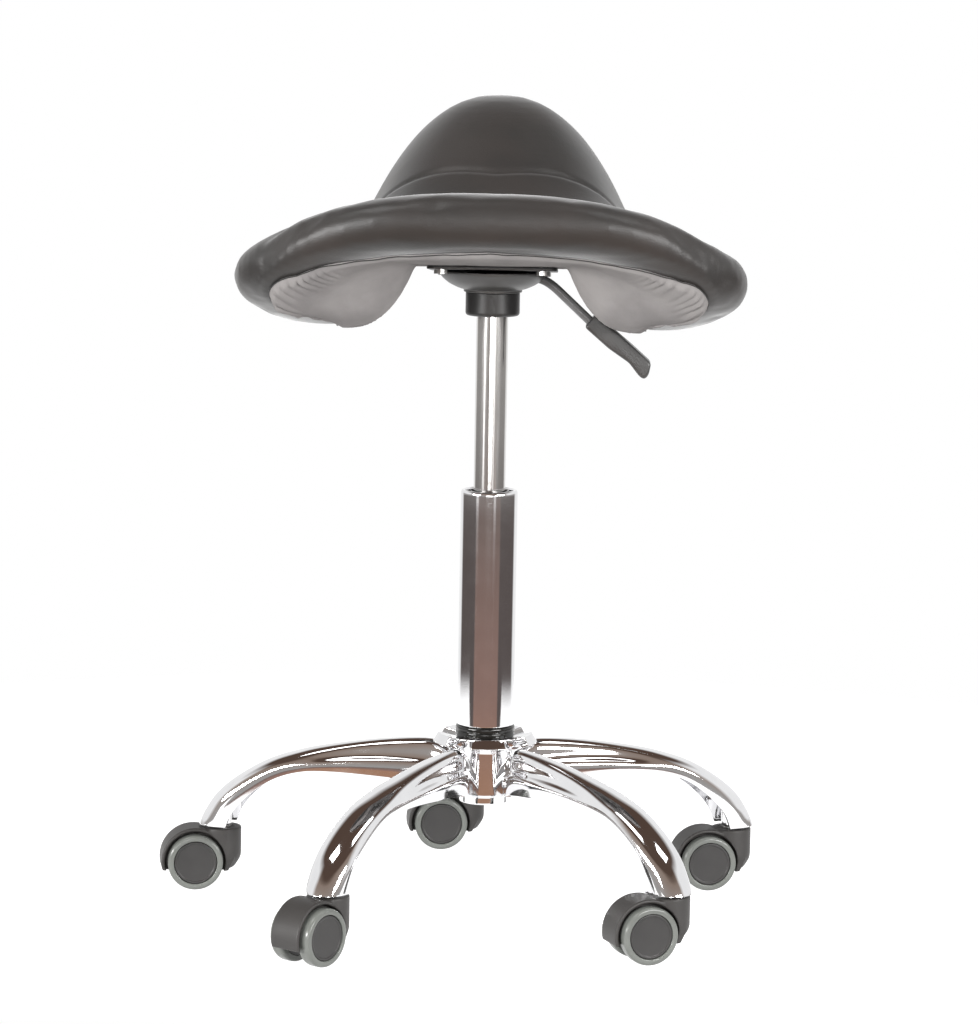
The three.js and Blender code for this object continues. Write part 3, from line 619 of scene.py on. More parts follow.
def cubes(size):
    """A remesh for with_modifiers, in cubes of the size."""
    return "REMESH", {"mode": "VOXEL", "voxel_size": size}


def smoothing(times):
    """A smoothing for with_modifiers."""
    return "SMOOTH", {"factor": 0.5, "iterations": times}


def boolean(mesh, tool, operation):
    helper = add_object("tool", tool)
    result = with_modifiers(mesh, ("BOOLEAN", {"object": helper, "operation": operation, "solver": "EXACT"}))
    bpy.data.objects.remove(helper)
    return result


at_column = Matrix.Translation((column_x, column_y, 0))


# Material helpers
class Nodes:
    """Adds nodes to a material or to the world, and links them."""

    def __init__(self, owner):
        owner.use_nodes = True
        self.nodes = owner.node_tree.nodes
        self.links = owner.node_tree.links

    def feed(self, node, inputs):
        """Gives a node its inputs, each a plain value or the output of another node."""
        for key, value in inputs.items():
            if isinstance(value, bpy.types.NodeSocket):
                self.links.new(value, node.inputs[key])
            else:
                node.inputs[key].default_value = value

    def add(self, kind, output, inputs=None, **settings):
        """An output of a new node."""
        node = self.nodes.new(f"ShaderNode{kind}")
        for key, value in settings.items():
            setattr(node, key, value)
        self.feed(node, inputs or {})
        return node.outputs[output]

    def noise(self, place, scale, detail, stretch=None):
        if stretch is not None:
            place = self.add("Mapping", "Vector", {"Vector": place, "Scale": stretch})
        return self.add("TexNoise", "Fac", {"Vector": place, "Scale": scale, "Detail": detail})

    def between(self, value, limits=(0, 1), results=(0, 1)):
        """Goes from the first result to the second as the value goes through the limits."""
        node = {"Value": value, "From Min": limits[0], "From Max": limits[1]}
        return self.add("MapRange", "Result", {**node, "To Min": results[0], "To Max": results[1]})

    def stops(self, value, stops):
        """A colour that follows a value through places, each with a colour or a shade of grey."""
        node = self.nodes.new("ShaderNodeValToRGB")
        while len(node.color_ramp.elements) < len(stops):
            node.color_ramp.elements.new(0.5)
        for element, (place, colour) in zip(node.color_ramp.elements, stops):
            element.position = place
            element.color = (*colour, 1) if isinstance(colour, tuple) else (colour, colour, colour, 1)
        self.feed(node, {"Fac": value})
        return node.outputs["Color"]

    def clouds(self, value, dark, light):
        """The two colours, mixed by noise."""
        return self.stops(value, list(zip(cloud_shares, (dark, light))))

    def bump(self, height, strength, distance, below=None):
        inputs = {"Height": height, "Strength": strength, "Distance": distance}
        if below is not None:
            inputs["Normal"] = below
        return self.add("Bump", "Normal", inputs)

    def calculate(self, operation, first, second):
        return self.add("Math", "Value", {0: first, 1: second}, operation=operation)

    def blend(self, amount, first, second):
        """The first colour, or the second where the amount is 1; either can be plain or an output."""
        plain = [(*c, 1) if isinstance(c, tuple) else c for c in (first, second)]
        return self.add("Mix", "Result", {"Factor": amount, "A": plain[0], "B": plain[1]}, data_type="RGBA")


def start_material(name):
    """A new material with its nodes, its shader and its place on the object."""
    material = bpy.data.materials.new(name)
    kit = Nodes(material)
    return material, kit, kit.nodes["Principled BSDF"], kit.add("TexCoord", "Object")


def metal(name, colour, roughness, spread, grain=None, bump=0.02):
    """Metal with fine scratches or a brushed grain, and a slightly uneven gloss."""
    material, kit, shader, place = start_material(name)
    cloud = kit.noise(place, 60, 5)
    fine = kit.noise(place, 900, 3, grain)
    darker = tuple(c * metal_cloud_share for c in colour)
    inputs = {
        "Base Color": kit.clouds(cloud, darker, colour),
        "Roughness": kit.between(fine if grain else cloud, results=(roughness - spread, roughness + spread)),
        "Normal": kit.bump(fine, bump, scratch_depth),
        "Metallic": 1,
    }
    kit.feed(shader, inputs)
    return material


def plastic(name, colour, roughness, grain_scale, bump, speckle=0.75):
    """Moulded plastic or paint: fine grain, uneven gloss and a little dust in the colour."""
    material, kit, shader, place = start_material(name)
    cloud = kit.noise(place, 35, 6)
    darker = tuple(c * speckle for c in colour)
    spread = (roughness - plastic_gloss_spread, roughness + plastic_gloss_spread)
    inputs = {
        "Base Color": kit.clouds(cloud, darker, colour),
        "Roughness": kit.between(cloud, results=spread),
        "Normal": kit.bump(kit.noise(place, grain_scale, 3), bump, grain_depth),
    }
    kit.feed(shader, inputs)
    return material


def vinyl_material():
    """Dark upholstery vinyl: pebbled grain, faint creases and a soft sheen."""
    material, kit, shader, place = start_material("seat_vinyl")
    cloud = kit.noise(place, 14, 6)
    pebble = kit.add("TexVoronoi", "Distance", {"Vector": place, "Scale": 850}, feature="SMOOTH_F1")
    grain = kit.bump(pebble, 0.25, pebble_depth)
    inputs = {
        "Base Color": kit.clouds(cloud, *vinyl_colours),
        "Roughness": kit.between(cloud, results=(0.36, 0.48)),
        "Normal": kit.bump(kit.noise(place, 45, 3), 0.12, vinyl_crease_depth, grain),
        "Sheen Weight": 0.4,
        "Sheen Roughness": 0.35,
    }
    kit.feed(shader, inputs)
    return material


def cloth_material():
    """Grey backing cloth: a fine weave, soft creases and no gloss."""
    material, kit, shader, place = start_material("dust_cloth")
    cloud = kit.noise(place, 22, 6)
    weave = kit.add("TexWave", "Fac", {"Vector": place, "Scale": 420, "Distortion": 1.5})
    threads = kit.bump(weave, 0.15, thread_depth)
    inputs = {
        "Base Color": kit.clouds(cloud, *cloth_colours),
        "Roughness": 0.8,
        "Normal": kit.bump(kit.noise(place, 60, 4), 0.35, cloth_crease_depth, threads),
    }
    kit.feed(shader, inputs)
    return material


def wood_material():
    """Raw plywood with its grain along X."""
    material, kit, shader, place = start_material("plywood")
    grain = kit.noise(place, 60, 6, (0.3, 2, 6))
    inputs = {
        "Base Color": kit.clouds(grain, *wood_colours),
        "Roughness": 0.7,
        "Normal": kit.bump(grain, 0.2, wood_grain_depth),
    }
    kit.feed(shader, inputs)
    return material


# Colours from darker to lighter, and how deep the grain of each surface is
cloud_shares = (0.35, 0.65)
metal_cloud_share = 0.96
plastic_gloss_spread = 0.08
vinyl_colours = ((0.021, 0.02, 0.019), (0.028, 0.024, 0.022))
cloth_colours = ((0.215, 0.202, 0.199), (0.295, 0.278, 0.271))
wood_colours = ((0.3, 0.18, 0.09), (0.52, 0.36, 0.2))
scratch_depth = 0.0002
grain_depth = 0.0003
pebble_depth = 0.0004
vinyl_crease_depth = 0.002
thread_depth = 0.0004
cloth_crease_depth = 0.003
wood_grain_depth = 0.0005

chrome = metal("chrome", (0.8, 0.8, 0.81), 0.06, 0.02)
zinc = metal("zinc_steel", (0.6, 0.6, 0.58), 0.3, 0.08)
brushed = metal("brushed_steel", (0.72, 0.71, 0.7), 0.14, 0.05, (1, 1, 0.02), 0.05)
bowl_paint = plastic("bowl_paint", (0.066, 0.064, 0.062), 0.34, 700, 0.12)
plate_paint = plastic("plate_paint", (0.03, 0.03, 0.03), 0.4, 700, 0.1)
lever_paint = plastic("lever_paint", (0.17, 0.168, 0.168), 0.32, 600, 0.1)
black_plastic = plastic("black_plastic", (0.022, 0.0215, 0.0215), 0.4, 900, 0.15)
grip_plastic = plastic("grip_plastic", (0.055, 0.054, 0.053), 0.34, 800, 0.12)
ring_gloss = plastic("ring_gloss", (0.012, 0.012, 0.011), 0.1, 300, 0.02)
hood_plastic = plastic("hood_plastic", (0.034, 0.031, 0.029), 0.5, 1100, 0.3)
disc_plastic = plastic("disc_plastic", (0.026, 0.024, 0.023), 0.4, 900, 0.15)
tread_rubber = plastic("tread_rubber", (0.17, 0.178, 0.163), 0.24, 500, 0.05, 0.85)
vinyl = vinyl_material()
dust_cloth = cloth_material()
plywood = wood_material()


# Seat surface, the same shape as the solids
def seat_width(y):
    """Half the seat's width at a place along it."""
    return mix(seat["rear_half_width"], seat["front_half_width"], ramp(y, seat["taper_y"]))


def outline_point(angle, inset):
    along = signed_power(math.sin(angle), seat["outline_power"])
    across = signed_power(math.cos(angle), seat["outline_power"])
    y = seat["centre_y"] + along * (seat["half_length"] - inset)
    return across * (seat_width(y) - inset), y


def top_height(x, y):
    rearward = max(0, (seat["dip_y"] - y) / (seat["dip_y"] - seat["ridge_y"]))
    peak = seat["pommel_y"][1]
    nose_end = seat["centre_y"] + seat["half_length"]
    nose = max(0, (y - peak) / (nose_end - peak))
    across = abs(x) / seat["cross_width"]
    rear_fall = seat["rear_cross_drop"] * across ** seat["cross_power"]
    shape = min(1, across) ** seat["cross_power"] + seat["shoulder_slope"] * max(0, across - 1)
    pommel_fall = seat["pommel_cross_drop"] * ramp(y, seat["cross_drop_y"]) * shape
    rise = seat["ridge_rise"] * rearward**2 + seat["pommel_rise"] * ramp(y, seat["pommel_y"])
    return seat["dip_height"] + rise - seat["pommel_nose_drop"] * nose**2 - rear_fall - pommel_fall


def flap_profile(x, y, outer):
    """How far down a flap reaches, from 0 at its root to 1 at its outer edge."""
    behind = smooth((seat["bulge_front_y"] - y) / seat["bulge_front_length"])
    bulge = behind * (1 - smooth((seat["bulge_rear_y"] - y) / seat["bulge_rear_length"]))
    inner = mix(seat["flap_inner_x"], seat["bulge_inner_x"], bulge)
    along = min(1, max(0, (abs(x) - inner) / (outer - inner)))
    return mix(smooth(along), 1 - (1 - along) ** seat["bulge_power"], bulge)


def bottom_height(x, y):
    """The underside: two flaps, a lifted front and a shallow hollow that clears the raised lever."""
    from_centre = y - seat["flap_centre_y"]
    reach = seat["flap_rear_reach"] if from_centre < 0 else seat["flap_front_reach"]
    amount = max(0, 1 - (from_centre / reach) ** 2)
    behind = (seat["flap_spread_start_y"] - y) / seat["flap_spread_length"]
    outer = seat["flap_outer_x"] + seat["flap_rear_spread"] * smooth(behind)
    flap = seat["flap_drop"] * amount * flap_profile(x, y, outer)
    nose_end = seat["centre_y"] + seat["half_length"]
    lift = seat["front_lift"] * ramp(y, (seat["front_lift_start_y"], nose_end))
    hollow_x, hollow_y = seat["hollow_place"]
    away = math.hypot(abs(x) - hollow_x, y - hollow_y) / seat["hollow_reach"]
    hollow = seat["hollow_depth"] * smooth(spot_fade_share - away)
    return seat["under_height"] - math.tan(math.radians(seat["under_tilt_deg"])) * y - flap + lift + hollow


def skin_point(angle, share, side, inset):
    """A point of the top or the underside, a share of the way to the outline at an angle."""
    plain = outline_point(angle, 0)
    moved = outline_point(angle, inset)
    edge = share ** seat["edge_power"]
    x = share * mix(plain[0], moved[0], edge)
    y = seat["centre_y"] + share * (mix(plain[1], moved[1], edge) - seat["centre_y"])
    top = top_height(x, y) - inset
    bottom = bottom_height(x, y) + inset
    half = math.sqrt(max(0, 1 - share ** seat["edge_power"])) * (top - bottom) / 2
    return Vector((x + column_x, y + column_y, (top + bottom) / 2 + side * half))


def seat_shares(count, power):
    """Shares from the middle to the outline, closer together towards the edge."""
    return [1 - (1 - k / count) ** power for k in range(1, count)]


def seat_row(share, side, inset, rise=0):
    """A ring of points round the seat, raised by rise."""
    lift = Vector((0, 0, rise))
    return [skin_point(2 * math.pi * k / seat_sides, share, side, inset) + lift for k in range(seat_sides)]


def cushion_start():
    """The closed cushion before it is swollen."""
    top, under = (seat_shares(count, cushion_row_power) for count in cushion_rows)
    rows = [[skin_point(0, 0, 1, cover_inset)]]
    rows += [seat_row(share, 1, cover_inset) for share in [*top, 1]]
    for share in reversed(under):
        inset = mix(cover_inset, under_inset, smooth((1 - share) / inset_change_share))
        rows.append(seat_row(share, -1, inset))
    rows.append([skin_point(0, 0, -1, under_inset)])
    return mesh_of_rows("seat_cushion", rows)


def swell(mesh):
    """Cloth under pressure rounds the padding; the underside on the board stays put."""
    mesh = with_modifiers(mesh, cubes(cover_voxel))
    obj = add_object("cushion_work", mesh)
    start = [v.co.copy() for v in mesh.vertices]
    group = obj.vertex_groups.new(name="held")
    reach = cloth_reach()
    group.add([i for i, p in enumerate(start) if is_under(p, reach)], 1.0, "REPLACE")
    modifier = obj.modifiers.new("cloth", "CLOTH")
    modifier.settings.use_pressure = True
    modifier.settings.uniform_pressure_force = cloth_pressure
    modifier.settings.vertex_group_mass = "held"
    modifier.settings.quality = cloth_quality
    modifier.settings.effector_weights.gravity = 0
    modifier.point_cache.frame_start = 1
    modifier.point_cache.frame_end = cloth_frames
    for number in range(1, cloth_frames + 1):
        scene.frame_set(number)
    graph = bpy.context.evaluated_depsgraph_get()
    swollen = bpy.data.meshes.new_from_object(obj.evaluated_get(graph))
    bpy.data.objects.remove(obj)
    scene.frame_set(1)
    for vertex, before in zip(swollen.vertices, start):
        move = vertex.co - before
        if move.length > cover_swell_limit:
            vertex.co = before + move.normalized() * cover_swell_limit
    return swollen


def cloth_reach():
    """How far the backing cloth reaches from the column, by angle."""
    return sorted((math.atan2(y, x), math.hypot(x, y)) for x, y in dust_edge_line())


def is_under(point, reach):
    """Whether a point of the cushion lies on the board or behind the backing cloth."""
    x = point.x - column_x
    y = point.y - column_y
    middle = (top_height(x, y) + bottom_height(x, y)) / 2
    if point.z > middle:
        return False
    i = bisect.bisect(reach, (math.atan2(y, x), 0)) % len(reach)
    return share_of(x, y) < pin_share or math.hypot(x, y) < reach[i][1] * pin_beyond_cloth


def share_of(x, y):
    """How far a point lies from the seat's middle towards its outline."""
    along = abs(y - seat["centre_y"]) / seat["half_length"]
    across = abs(x) / seat_width(y)
    power = 2 / seat["outline_power"]
    return (along**power + across**power) ** (1 / power)


def pommel_seam(x):
    return pommel_seam_y + pommel_seam_sweep * (abs(x) / seat["cross_width"]) ** pommel_seam_power


def press_seams(mesh):
    """Draws the cover in along the pommel seam and along the cloth's edge underneath."""
    edge = dust_edge_line()
    cells = {}
    size = 4 * seam_groove_width
    for i, (x, y) in enumerate(edge):
        cells.setdefault((round(x / size), round(y / size)), []).append((x, y))
    for vertex in mesh.vertices:
        x = vertex.co.x - column_x
        y = vertex.co.y - column_y
        middle = (top_height(x, y) + bottom_height(x, y)) / 2
        if vertex.co.z > middle:
            across = y - pommel_seam(x)
            vertex.co.z -= seam_depth * math.exp(-((across / seam_half_width) ** 2))
            continue
        column, row = round(x / size), round(y / size)
        near = [p for i in (-1, 0, 1) for k in (-1, 0, 1) for p in cells.get((column + i, row + k), ())]
        if near:
            far = min(math.hypot(x - px, y - py) for px, py in near)
            vertex.co.z += seam_groove * math.exp(-((far / seam_groove_width) ** 2))


def make_cushion():
    mesh = cushion_start()
    mesh = swell(mesh)
    mesh = with_modifiers(mesh, smoothing(4), ("SUBSURF", {"levels": 1, "render_levels": 1}))
    press_seams(mesh)
    obj = piece("seat_cushion", mesh, vinyl, "carriage", None, ("seat_cover", "seat_foam"))
    mesh.shade_smooth()


def make_board():
    """The plywood board under the padding, following the underside."""
    shares = [board_edge_share * k / board_rings for k in range(1, board_rings + 1)]
    middle = skin_point(0, 0, -1, board_inset)
    rows = [[middle]]
    rows += [seat_row(share, -1, board_inset) for share in shares]
    rows += [seat_row(share, -1, board_inset, board_thickness) for share in reversed(shares)]
    rows.append([middle + Vector((0, 0, board_thickness))])
    mesh = mesh_of_rows("seat_board", rows)
    piece("seat_board_plywood", mesh, plywood, "carriage", None, ("seat_board",))


def plan_share(x, y):
    """The exact share of a plan point on the seat's rings, found by halving."""
    low, high = halving_start_share, 1.0
    power = 2 / seat["outline_power"]
    for _ in range(halvings):
        share = (low + high) / 2
        along = (y - seat["centre_y"]) / share
        width = seat_width(along + seat["centre_y"])
        reach = (abs(along) / seat["half_length"]) ** power + (abs(x) / share / width) ** power
        if reach > 1:
            low = share
        else:
            high = share
    return high


def under_point(x, y, drop):
    """A point on the seat's underside, moved down by drop."""
    top = top_height(x, y)
    bottom = bottom_height(x, y)
    half = math.sqrt(max(0, 1 - plan_share(x, y) ** seat["edge_power"])) * (top - bottom) / 2
    return Vector((x + column_x, y + column_y, (top + bottom) / 2 - half - drop))


def dust_edge_line():
    """The closed edge of the backing cloth, slightly uneven, in plan."""
    half = smooth_rows(dust_edge_points, dust_steps)
    line = half + [(-x, y) for x, y in reversed(half[1:-1])]
    result = []
    for i, (x, y) in enumerate(line):
        before = line[i - 1]
        after = line[(i + 1) % len(line)]
        away = Vector((after[1] - before[1], before[0] - after[0])).normalized()
        wobble = uneven(x, y, wobble_noise) * dust_wobble
        arc = abs(math.sin(math.pi * (abs(x) - y) / (2 * pleat_spacing)))
        scallop = arc * scallop_depth * pleat_amount(x, y, 0)
        outwards = -1 if away.dot(Vector((x, y))) < 0 else 1
        result.append(Vector((x, y)) + away * (wobble + scallop) * outwards)
    return result


def uneven(x, y, kind):
    """Soft noise over the seat's plan, from about -1 to 1."""
    scale, layer = kind
    return noise.noise(Vector((x * scale, y * scale, layer)))


def pleat_amount(x, y, inward):
    """How strongly the cloth is gathered: most at the wing tips, none inwards."""
    far = math.hypot(abs(x) - pleat_place[0], y - pleat_place[1])
    return smooth(spot_fade_share - far / pleat_spread) * smooth(1 - inward / pleat_length)


def fold_lift(x, y):
    """The cloth's diagonal fold under each wing: a ridge with a crease beside it."""
    start = Vector(fold_start)
    along = Vector(fold_end) - start
    point = Vector((abs(x), y)) - start
    t = point.dot(along) / along.length_squared
    off = (point - along * t).dot(Vector((-along.y, along.x)).normalized())
    near, far = fold_reach_shares
    reach = smooth((t - near) / fold_fade_share) * smooth((far - t) / fold_fade_share)
    width = fold_front_width if off > 0 else fold_rear_width
    ridge = fold_height * math.exp(-((off / width) ** 2))
    groove = fold_groove * math.exp(-(((off - fold_front_width) / (fold_front_width / 2)) ** 2))
    return reach * (ridge - groove)


def cloth_point(rim, part):
    """A point of the backing cloth, part of the way from the middle to a point of its rim."""
    x, y = rim * part
    inward = rim.length * (1 - part)
    along = math.atan2(y, abs(x) - pleat_centre_x) * pleat_radius
    along += uneven(*rim, wander_noise) * pleat_wander
    strength = pleat_depth * pleat_amount(*rim, inward) * (1 + uneven(*rim, pleat_noise))
    pleat = math.sin(2 * math.pi * along / pleat_spacing) * strength
    slack = uneven(x, y, slack_noise) * cloth_slack * (1 - part**slack_power)
    drop = dust_drop + abs(slack) + pleat + strength + fold_lift(x, y)
    return under_point(x, y, mix(-dust_tuck, drop, smooth(inward / dust_tuck_width)))


def make_dust_cover():
    edge = dust_edge_line()
    parts = [*seat_shares(dust_rows, dust_row_power), 1]
    rows = [[under_point(0, 0, dust_drop)]]
    rows += [[cloth_point(rim, part) for rim in edge] for part in parts]
    mesh = mesh_of_rows("dust_cover", rows)
    mesh = with_modifiers(mesh, ("SOLIDIFY", {"thickness": dust_thickness, "offset": -1}))
    obj = piece("dust_cover_cloth", mesh, dust_cloth, "carriage", None, ("dust_cover",))
    mesh.shade_smooth()


def make_seam_cord_and_painted_shadow():
    # The seam along the backing cloth's edge, drawn as a thin black cord. Partly the real seam, partly a
    # painted shadow: its black stands in for the thin shadow line where the cloth meets the cover.
    edge = []
    for x, y in dust_edge_line():
        out = seam_cord_out_share
        point = under_point(x * out, y * out, seam_cord_radius * seam_cord_sink_share)
        point.z += seam_cord_wander * uneven(x, y, cord_noise)
        edge.append(point)
    cord = tube("edge_seam", edge, seam_cord_radius, 8, True)
    piece("edge_seam", cord, plate_paint, "carriage", None, ())


# Base pieces
def section_points(share):
    """Places across an arm's skin and down its sides, a share of the way along the arm."""
    fade = ramp(share, rib_fade_share)
    pairs = zip(ribbed_section_shares, plain_section_shares)
    half = [(mix(a[0], b[0], fade), mix(a[1], b[1], fade)) for a, b in pairs]
    return [(-s, d) for s, d in reversed(half)] + [(0, 0)] + half


def arm_mesh():
    """One arm along +X: a smooth open skin, given its wall and a rolled rim."""
    rows = smooth_rows(arm_row_shares, arm_rows_between)
    verts = []
    width = 0
    for reach, height, depth, half_width, tilt_deg in rows:
        tilt = math.radians(tilt_deg)
        line = corner_cut(section_points(reach), 2)
        width = len(line)
        for side, down in line:
            drop = down * depth * arm_top_height
            x = mix(arm_root, arm_reach, reach) - drop * math.sin(tilt)
            z = height * arm_top_height - drop * math.cos(tilt)
            verts.append((x, side * half_width * arm_half_width, z))
    faces = []
    for i in range(len(rows) - 1):
        for k in range(width - 1):
            a = i * width + k
            faces.append((a, a + 1, a + width + 1, a + width))
    work = bmesh.new()
    work.from_mesh(mesh_of("arm", verts, faces))
    geometry = work.verts[:] + work.edges[:] + work.faces[:]
    tip = (0, 0, arm_tip_height)
    bmesh.ops.bisect_plane(work, geom=geometry, plane_co=tip, plane_no=(0, 0, 1), clear_inner=True)
    skin = bpy.data.meshes.new("arm_skin")
    work.to_mesh(skin)
    work.free()
    shell = with_modifiers(
        skin,
        ("SOLIDIFY", {"thickness": arm_wall, "offset": 1, "use_even_offset": True}),
        bevel(arm_rim_radius, 3, math.radians(arm_rim_angle_deg)),
    )
    corners = [
        (stem_hole_radius, arm_tip_height, socket_foot_edge),
        (socket_radius, arm_tip_height, socket_rim_edge),
        (socket_radius, socket_top, 0),
        (stem_hole_radius, socket_top, 0),
    ]
    socket = lathe("socket", corners, sides=40)
    return joined("arm", [(shell, Matrix()), (socket, Matrix.Translation((caster_circle, 0, 0)))])


def arm_angle(turn_deg):
    return math.radians(turn_deg + arm_direction_shift_deg - 90)


def hub_mesh():
    """The hub's body with the five flared petals between the arms."""
    r = hub_rounding
    corners = [
        (column_foot_radius + seat_gap, hub_bottom, hub_bore_edge),
        (hub_ring_radius, hub_bottom, r),
        (hub_ring_radius, hub_ring_top, r),
        (hub_body_radius, hub_ring_top, r),
        (hub_body_radius, hub_step, r),
        (hub_collar_radius, hub_step + hub_step_rise, r),
        (hub_collar_radius, hub_top, r),
        (column_taper_radius + seat_gap, hub_top, r),
    ]
    parts = [(lathe("hub", corners), Matrix())]
    petal = petal_mesh()
    for _, turn, _ in arms:
        parts.append((petal, Matrix.Rotation(arm_angle(turn + half_arm_step_deg), 4, "Z")))
    return joined("hub", parts)


def petal_mesh():
    """One sector of the hub's flared ring, centred on +X, with rounded edges."""
    middle = ((hub_body_radius + petal_reach) / 2, (petal_root[0] + petal_rim[0]) / 2 - petal_bow)
    corners = [
        (hub_wall_middle, petal_root[0], 0),
        (*middle, petal_bow_rounding),
        (petal_reach, petal_rim[0], 0),
        (petal_reach - petal_lean, petal_rim[1], 0),
        (hub_wall_middle, petal_root[1], 0),
    ]
    half = math.radians(petal_half_angle_deg)
    rows = []
    for i in range(petal_steps + 1):
        angle = mix(-half, half, i / petal_steps)
        rows.append([(r * math.cos(angle), r * math.sin(angle), z) for r, z in rounded(corners, True, 6)])
    petal = mesh_of_rows("petal", rows, capped=True)
    return with_modifiers(petal, bevel(petal_rounding, 4, petal_bevel_angle))


def make_base():
    shared = arm_mesh()
    for name, turn, _ in arms:
        place = at_column @ Matrix.Rotation(arm_angle(turn), 4, "Z")
        piece(f"chrome_arm_{name}", shared, chrome, "base", place, (f"arm_{name}",))
    piece("chrome_hub", hub_mesh(), chrome, "base", at_column, ("base_hub",))


def make_column():
    corners = [
        (column_foot_radius - column_wall, column_bottom, 0),
        (column_foot_radius, column_bottom, column_foot_edge),
        (column_taper_radius, hub_top, 0),
        (column_taper_radius, column_shoulder, 0),
        (column_radius, column_shoulder, column_shoulder_edge),
        (column_radius, column_top, column_lip),
        (column_bore, column_top, column_lip / 2),
        (column_bore, column_shoulder + column_wall, 0),
        (column_taper_radius - column_wall, column_shoulder, 0),
    ]
    outer = lathe("column", corners, 6)
    piece("chrome_column", outer, chrome, "base", at_column, ("outer_column",))
    low = hub_top + seat_gap
    high = column_shoulder - seat_gap
    middle = (low + high) / 2
    corners = [
        (column_taper_radius + seat_gap, low, 0),
        (ring_radius, low, ring_edge),
        (ring_radius, middle, ring_groove_edge),
        (ring_radius - ring_groove, middle, 0),
        (ring_radius, middle, ring_groove_edge),
        (ring_radius, high, ring_edge),
        (column_taper_radius + seat_gap, high, 0),
    ]
    ring = lathe("foot_ring", corners, 5)
    piece("dark_foot_ring", ring, ring_gloss, "base", at_column, ("column_foot_ring",))
    corners = [
        (pin_hole_radius, cylinder_bottom, 0),
        (cylinder_radius, cylinder_bottom, cylinder_chamfer),
        (cylinder_radius, cylinder_top, cylinder_chamfer),
        (pin_hole_radius, cylinder_top, 0),
    ]
    inner = lathe("cylinder", corners)
    piece("brushed_cylinder", inner, brushed, "carriage", at_column, ("gas_cylinder",))


def bowl_mesh():
    """The bowl with its foot ring and its slot for the lever."""
    rise = seat["under_height"] - plate_thickness - plate_below_seat - bowl_foot_top
    outer = []
    for out, up in bowl_slope_shares:
        radius = mix(bowl_foot_radius, bowl_rim_radius, out)
        outer.append((radius, bowl_foot_top + up * rise, bowl_slope_rounding))
    inner = [(r - bowl_wall, h + bowl_wall / 3, bowl_inner_rounding) for r, h, _ in outer]
    corners = [
        (cylinder_radius + seat_gap, bowl_bottom, bowl_hole_edge),
        (bowl_foot_radius, bowl_bottom, bowl_foot_edge),
        (bowl_foot_radius, bowl_foot_top, bowl_foot_edge),
        *outer,
        *reversed(inner),
        (cylinder_radius + seat_gap, bowl_foot_top + bowl_wall / 3, 0),
    ]
    low = lever_height - 2 * lever_rod_radius - lever_slot_gap
    high = lever_height + lever_rod_radius + lever_slot_gap / 4
    near = lever_pivot_x - lug_half_width
    far = 2 * plate_half
    outline = [(near, low), (far, low), (far, high), (near, high)]
    slot = prism("slot", outline, lever_rod_radius + lever_slot_gap)
    return boolean(lathe("bowl", corners), slot, "DIFFERENCE")


def plate_mesh():
    half = plate_half
    corners = [(x, y, plate_corner) for x, y in ((-half, -half), (half, -half), (half, half), (-half, half))]
    plate = prism("plate", rounded(corners, True, 6), plate_thickness / 2)
    plate.transform(Matrix.Rotation(math.radians(90), 4, "X"))
    plate = with_modifiers(plate, bevel(plate_edge, 2, bevel_angle))
    centre = seat["under_height"] - plate_below_seat - plate_thickness / 2
    tilt = Matrix.Rotation(-math.radians(seat["under_tilt_deg"]), 4, "X")
    plate.transform(Matrix.Translation((0, 0, centre)) @ tilt)
    return plate


def make_mechanism():
    corners = [
        (cylinder_radius + seat_gap, collar_bottom, collar_foot_edge),
        (collar_radius, collar_bottom, collar_rounding),
        (collar_radius, collar_top, collar_top_edge),
        (cylinder_radius + seat_gap, collar_top, 0),
    ]
    ring = lathe("collar", corners, 6)
    piece("black_collar", ring, black_plastic, "carriage", at_column, ("socket_collar",))
    piece("grey_bowl", bowl_mesh(), bowl_paint, "carriage", at_column, ("seat_mechanism",))
    piece("mount_plate", plate_mesh(), plate_paint, "carriage", at_column, ())


# Lever
def lever_points():
    height = lever_height
    grip = Vector((lever_grip_x, 0, lever_grip_height))
    corner = Vector((lever_bend_x, 0, height))
    bend_start = Vector((lever_pivot_x, 0, height))
    bend_end = corner.lerp(grip, lever_bend_end_share)
    axis = (grip - corner).normalized()
    points = [Vector((lever_inner_x, 0, height))]
    for k in range(lever_bend_steps + 1):
        t = k / lever_bend_steps
        points.append(bend_start * (1 - t) ** 2 + corner * 2 * t * (1 - t) + bend_end * t**2)
    points.append(grip + axis * lever_rod_in_grip)
    return points, grip, axis


def make_lever():
    points, grip_start, axis = lever_points()
    rod = tube("rod", points, lever_rod_radius, 32)
    ends = [(lever_pivot_x, -lever_pin_half, lever_height), (lever_pivot_x, lever_pin_half, lever_height)]
    pin = tube("pin", ends, lever_pin_radius, 24)
    both = joined("lever", [(rod, Matrix()), (pin, Matrix())])
    piece("bent_rod", both, lever_paint, "lever", at_column, ("lever_rod",))
    corners = [(a * grip_length, d * grip_half_depth, grip_corner_rounding) for a, d in grip_outline_shares]
    body = prism("grip", rounded(corners, True), grip_half_width)
    body = with_modifiers(body, bevel(grip_edge, 4, bevel_angle))
    turn = Matrix.Rotation(math.atan2(-axis.z, axis.x), 4, "Y")
    body.transform(Matrix.Translation(grip_start) @ turn)
    piece("paddle_grip", body, grip_plastic, "lever", at_column, ("lever_grip",))


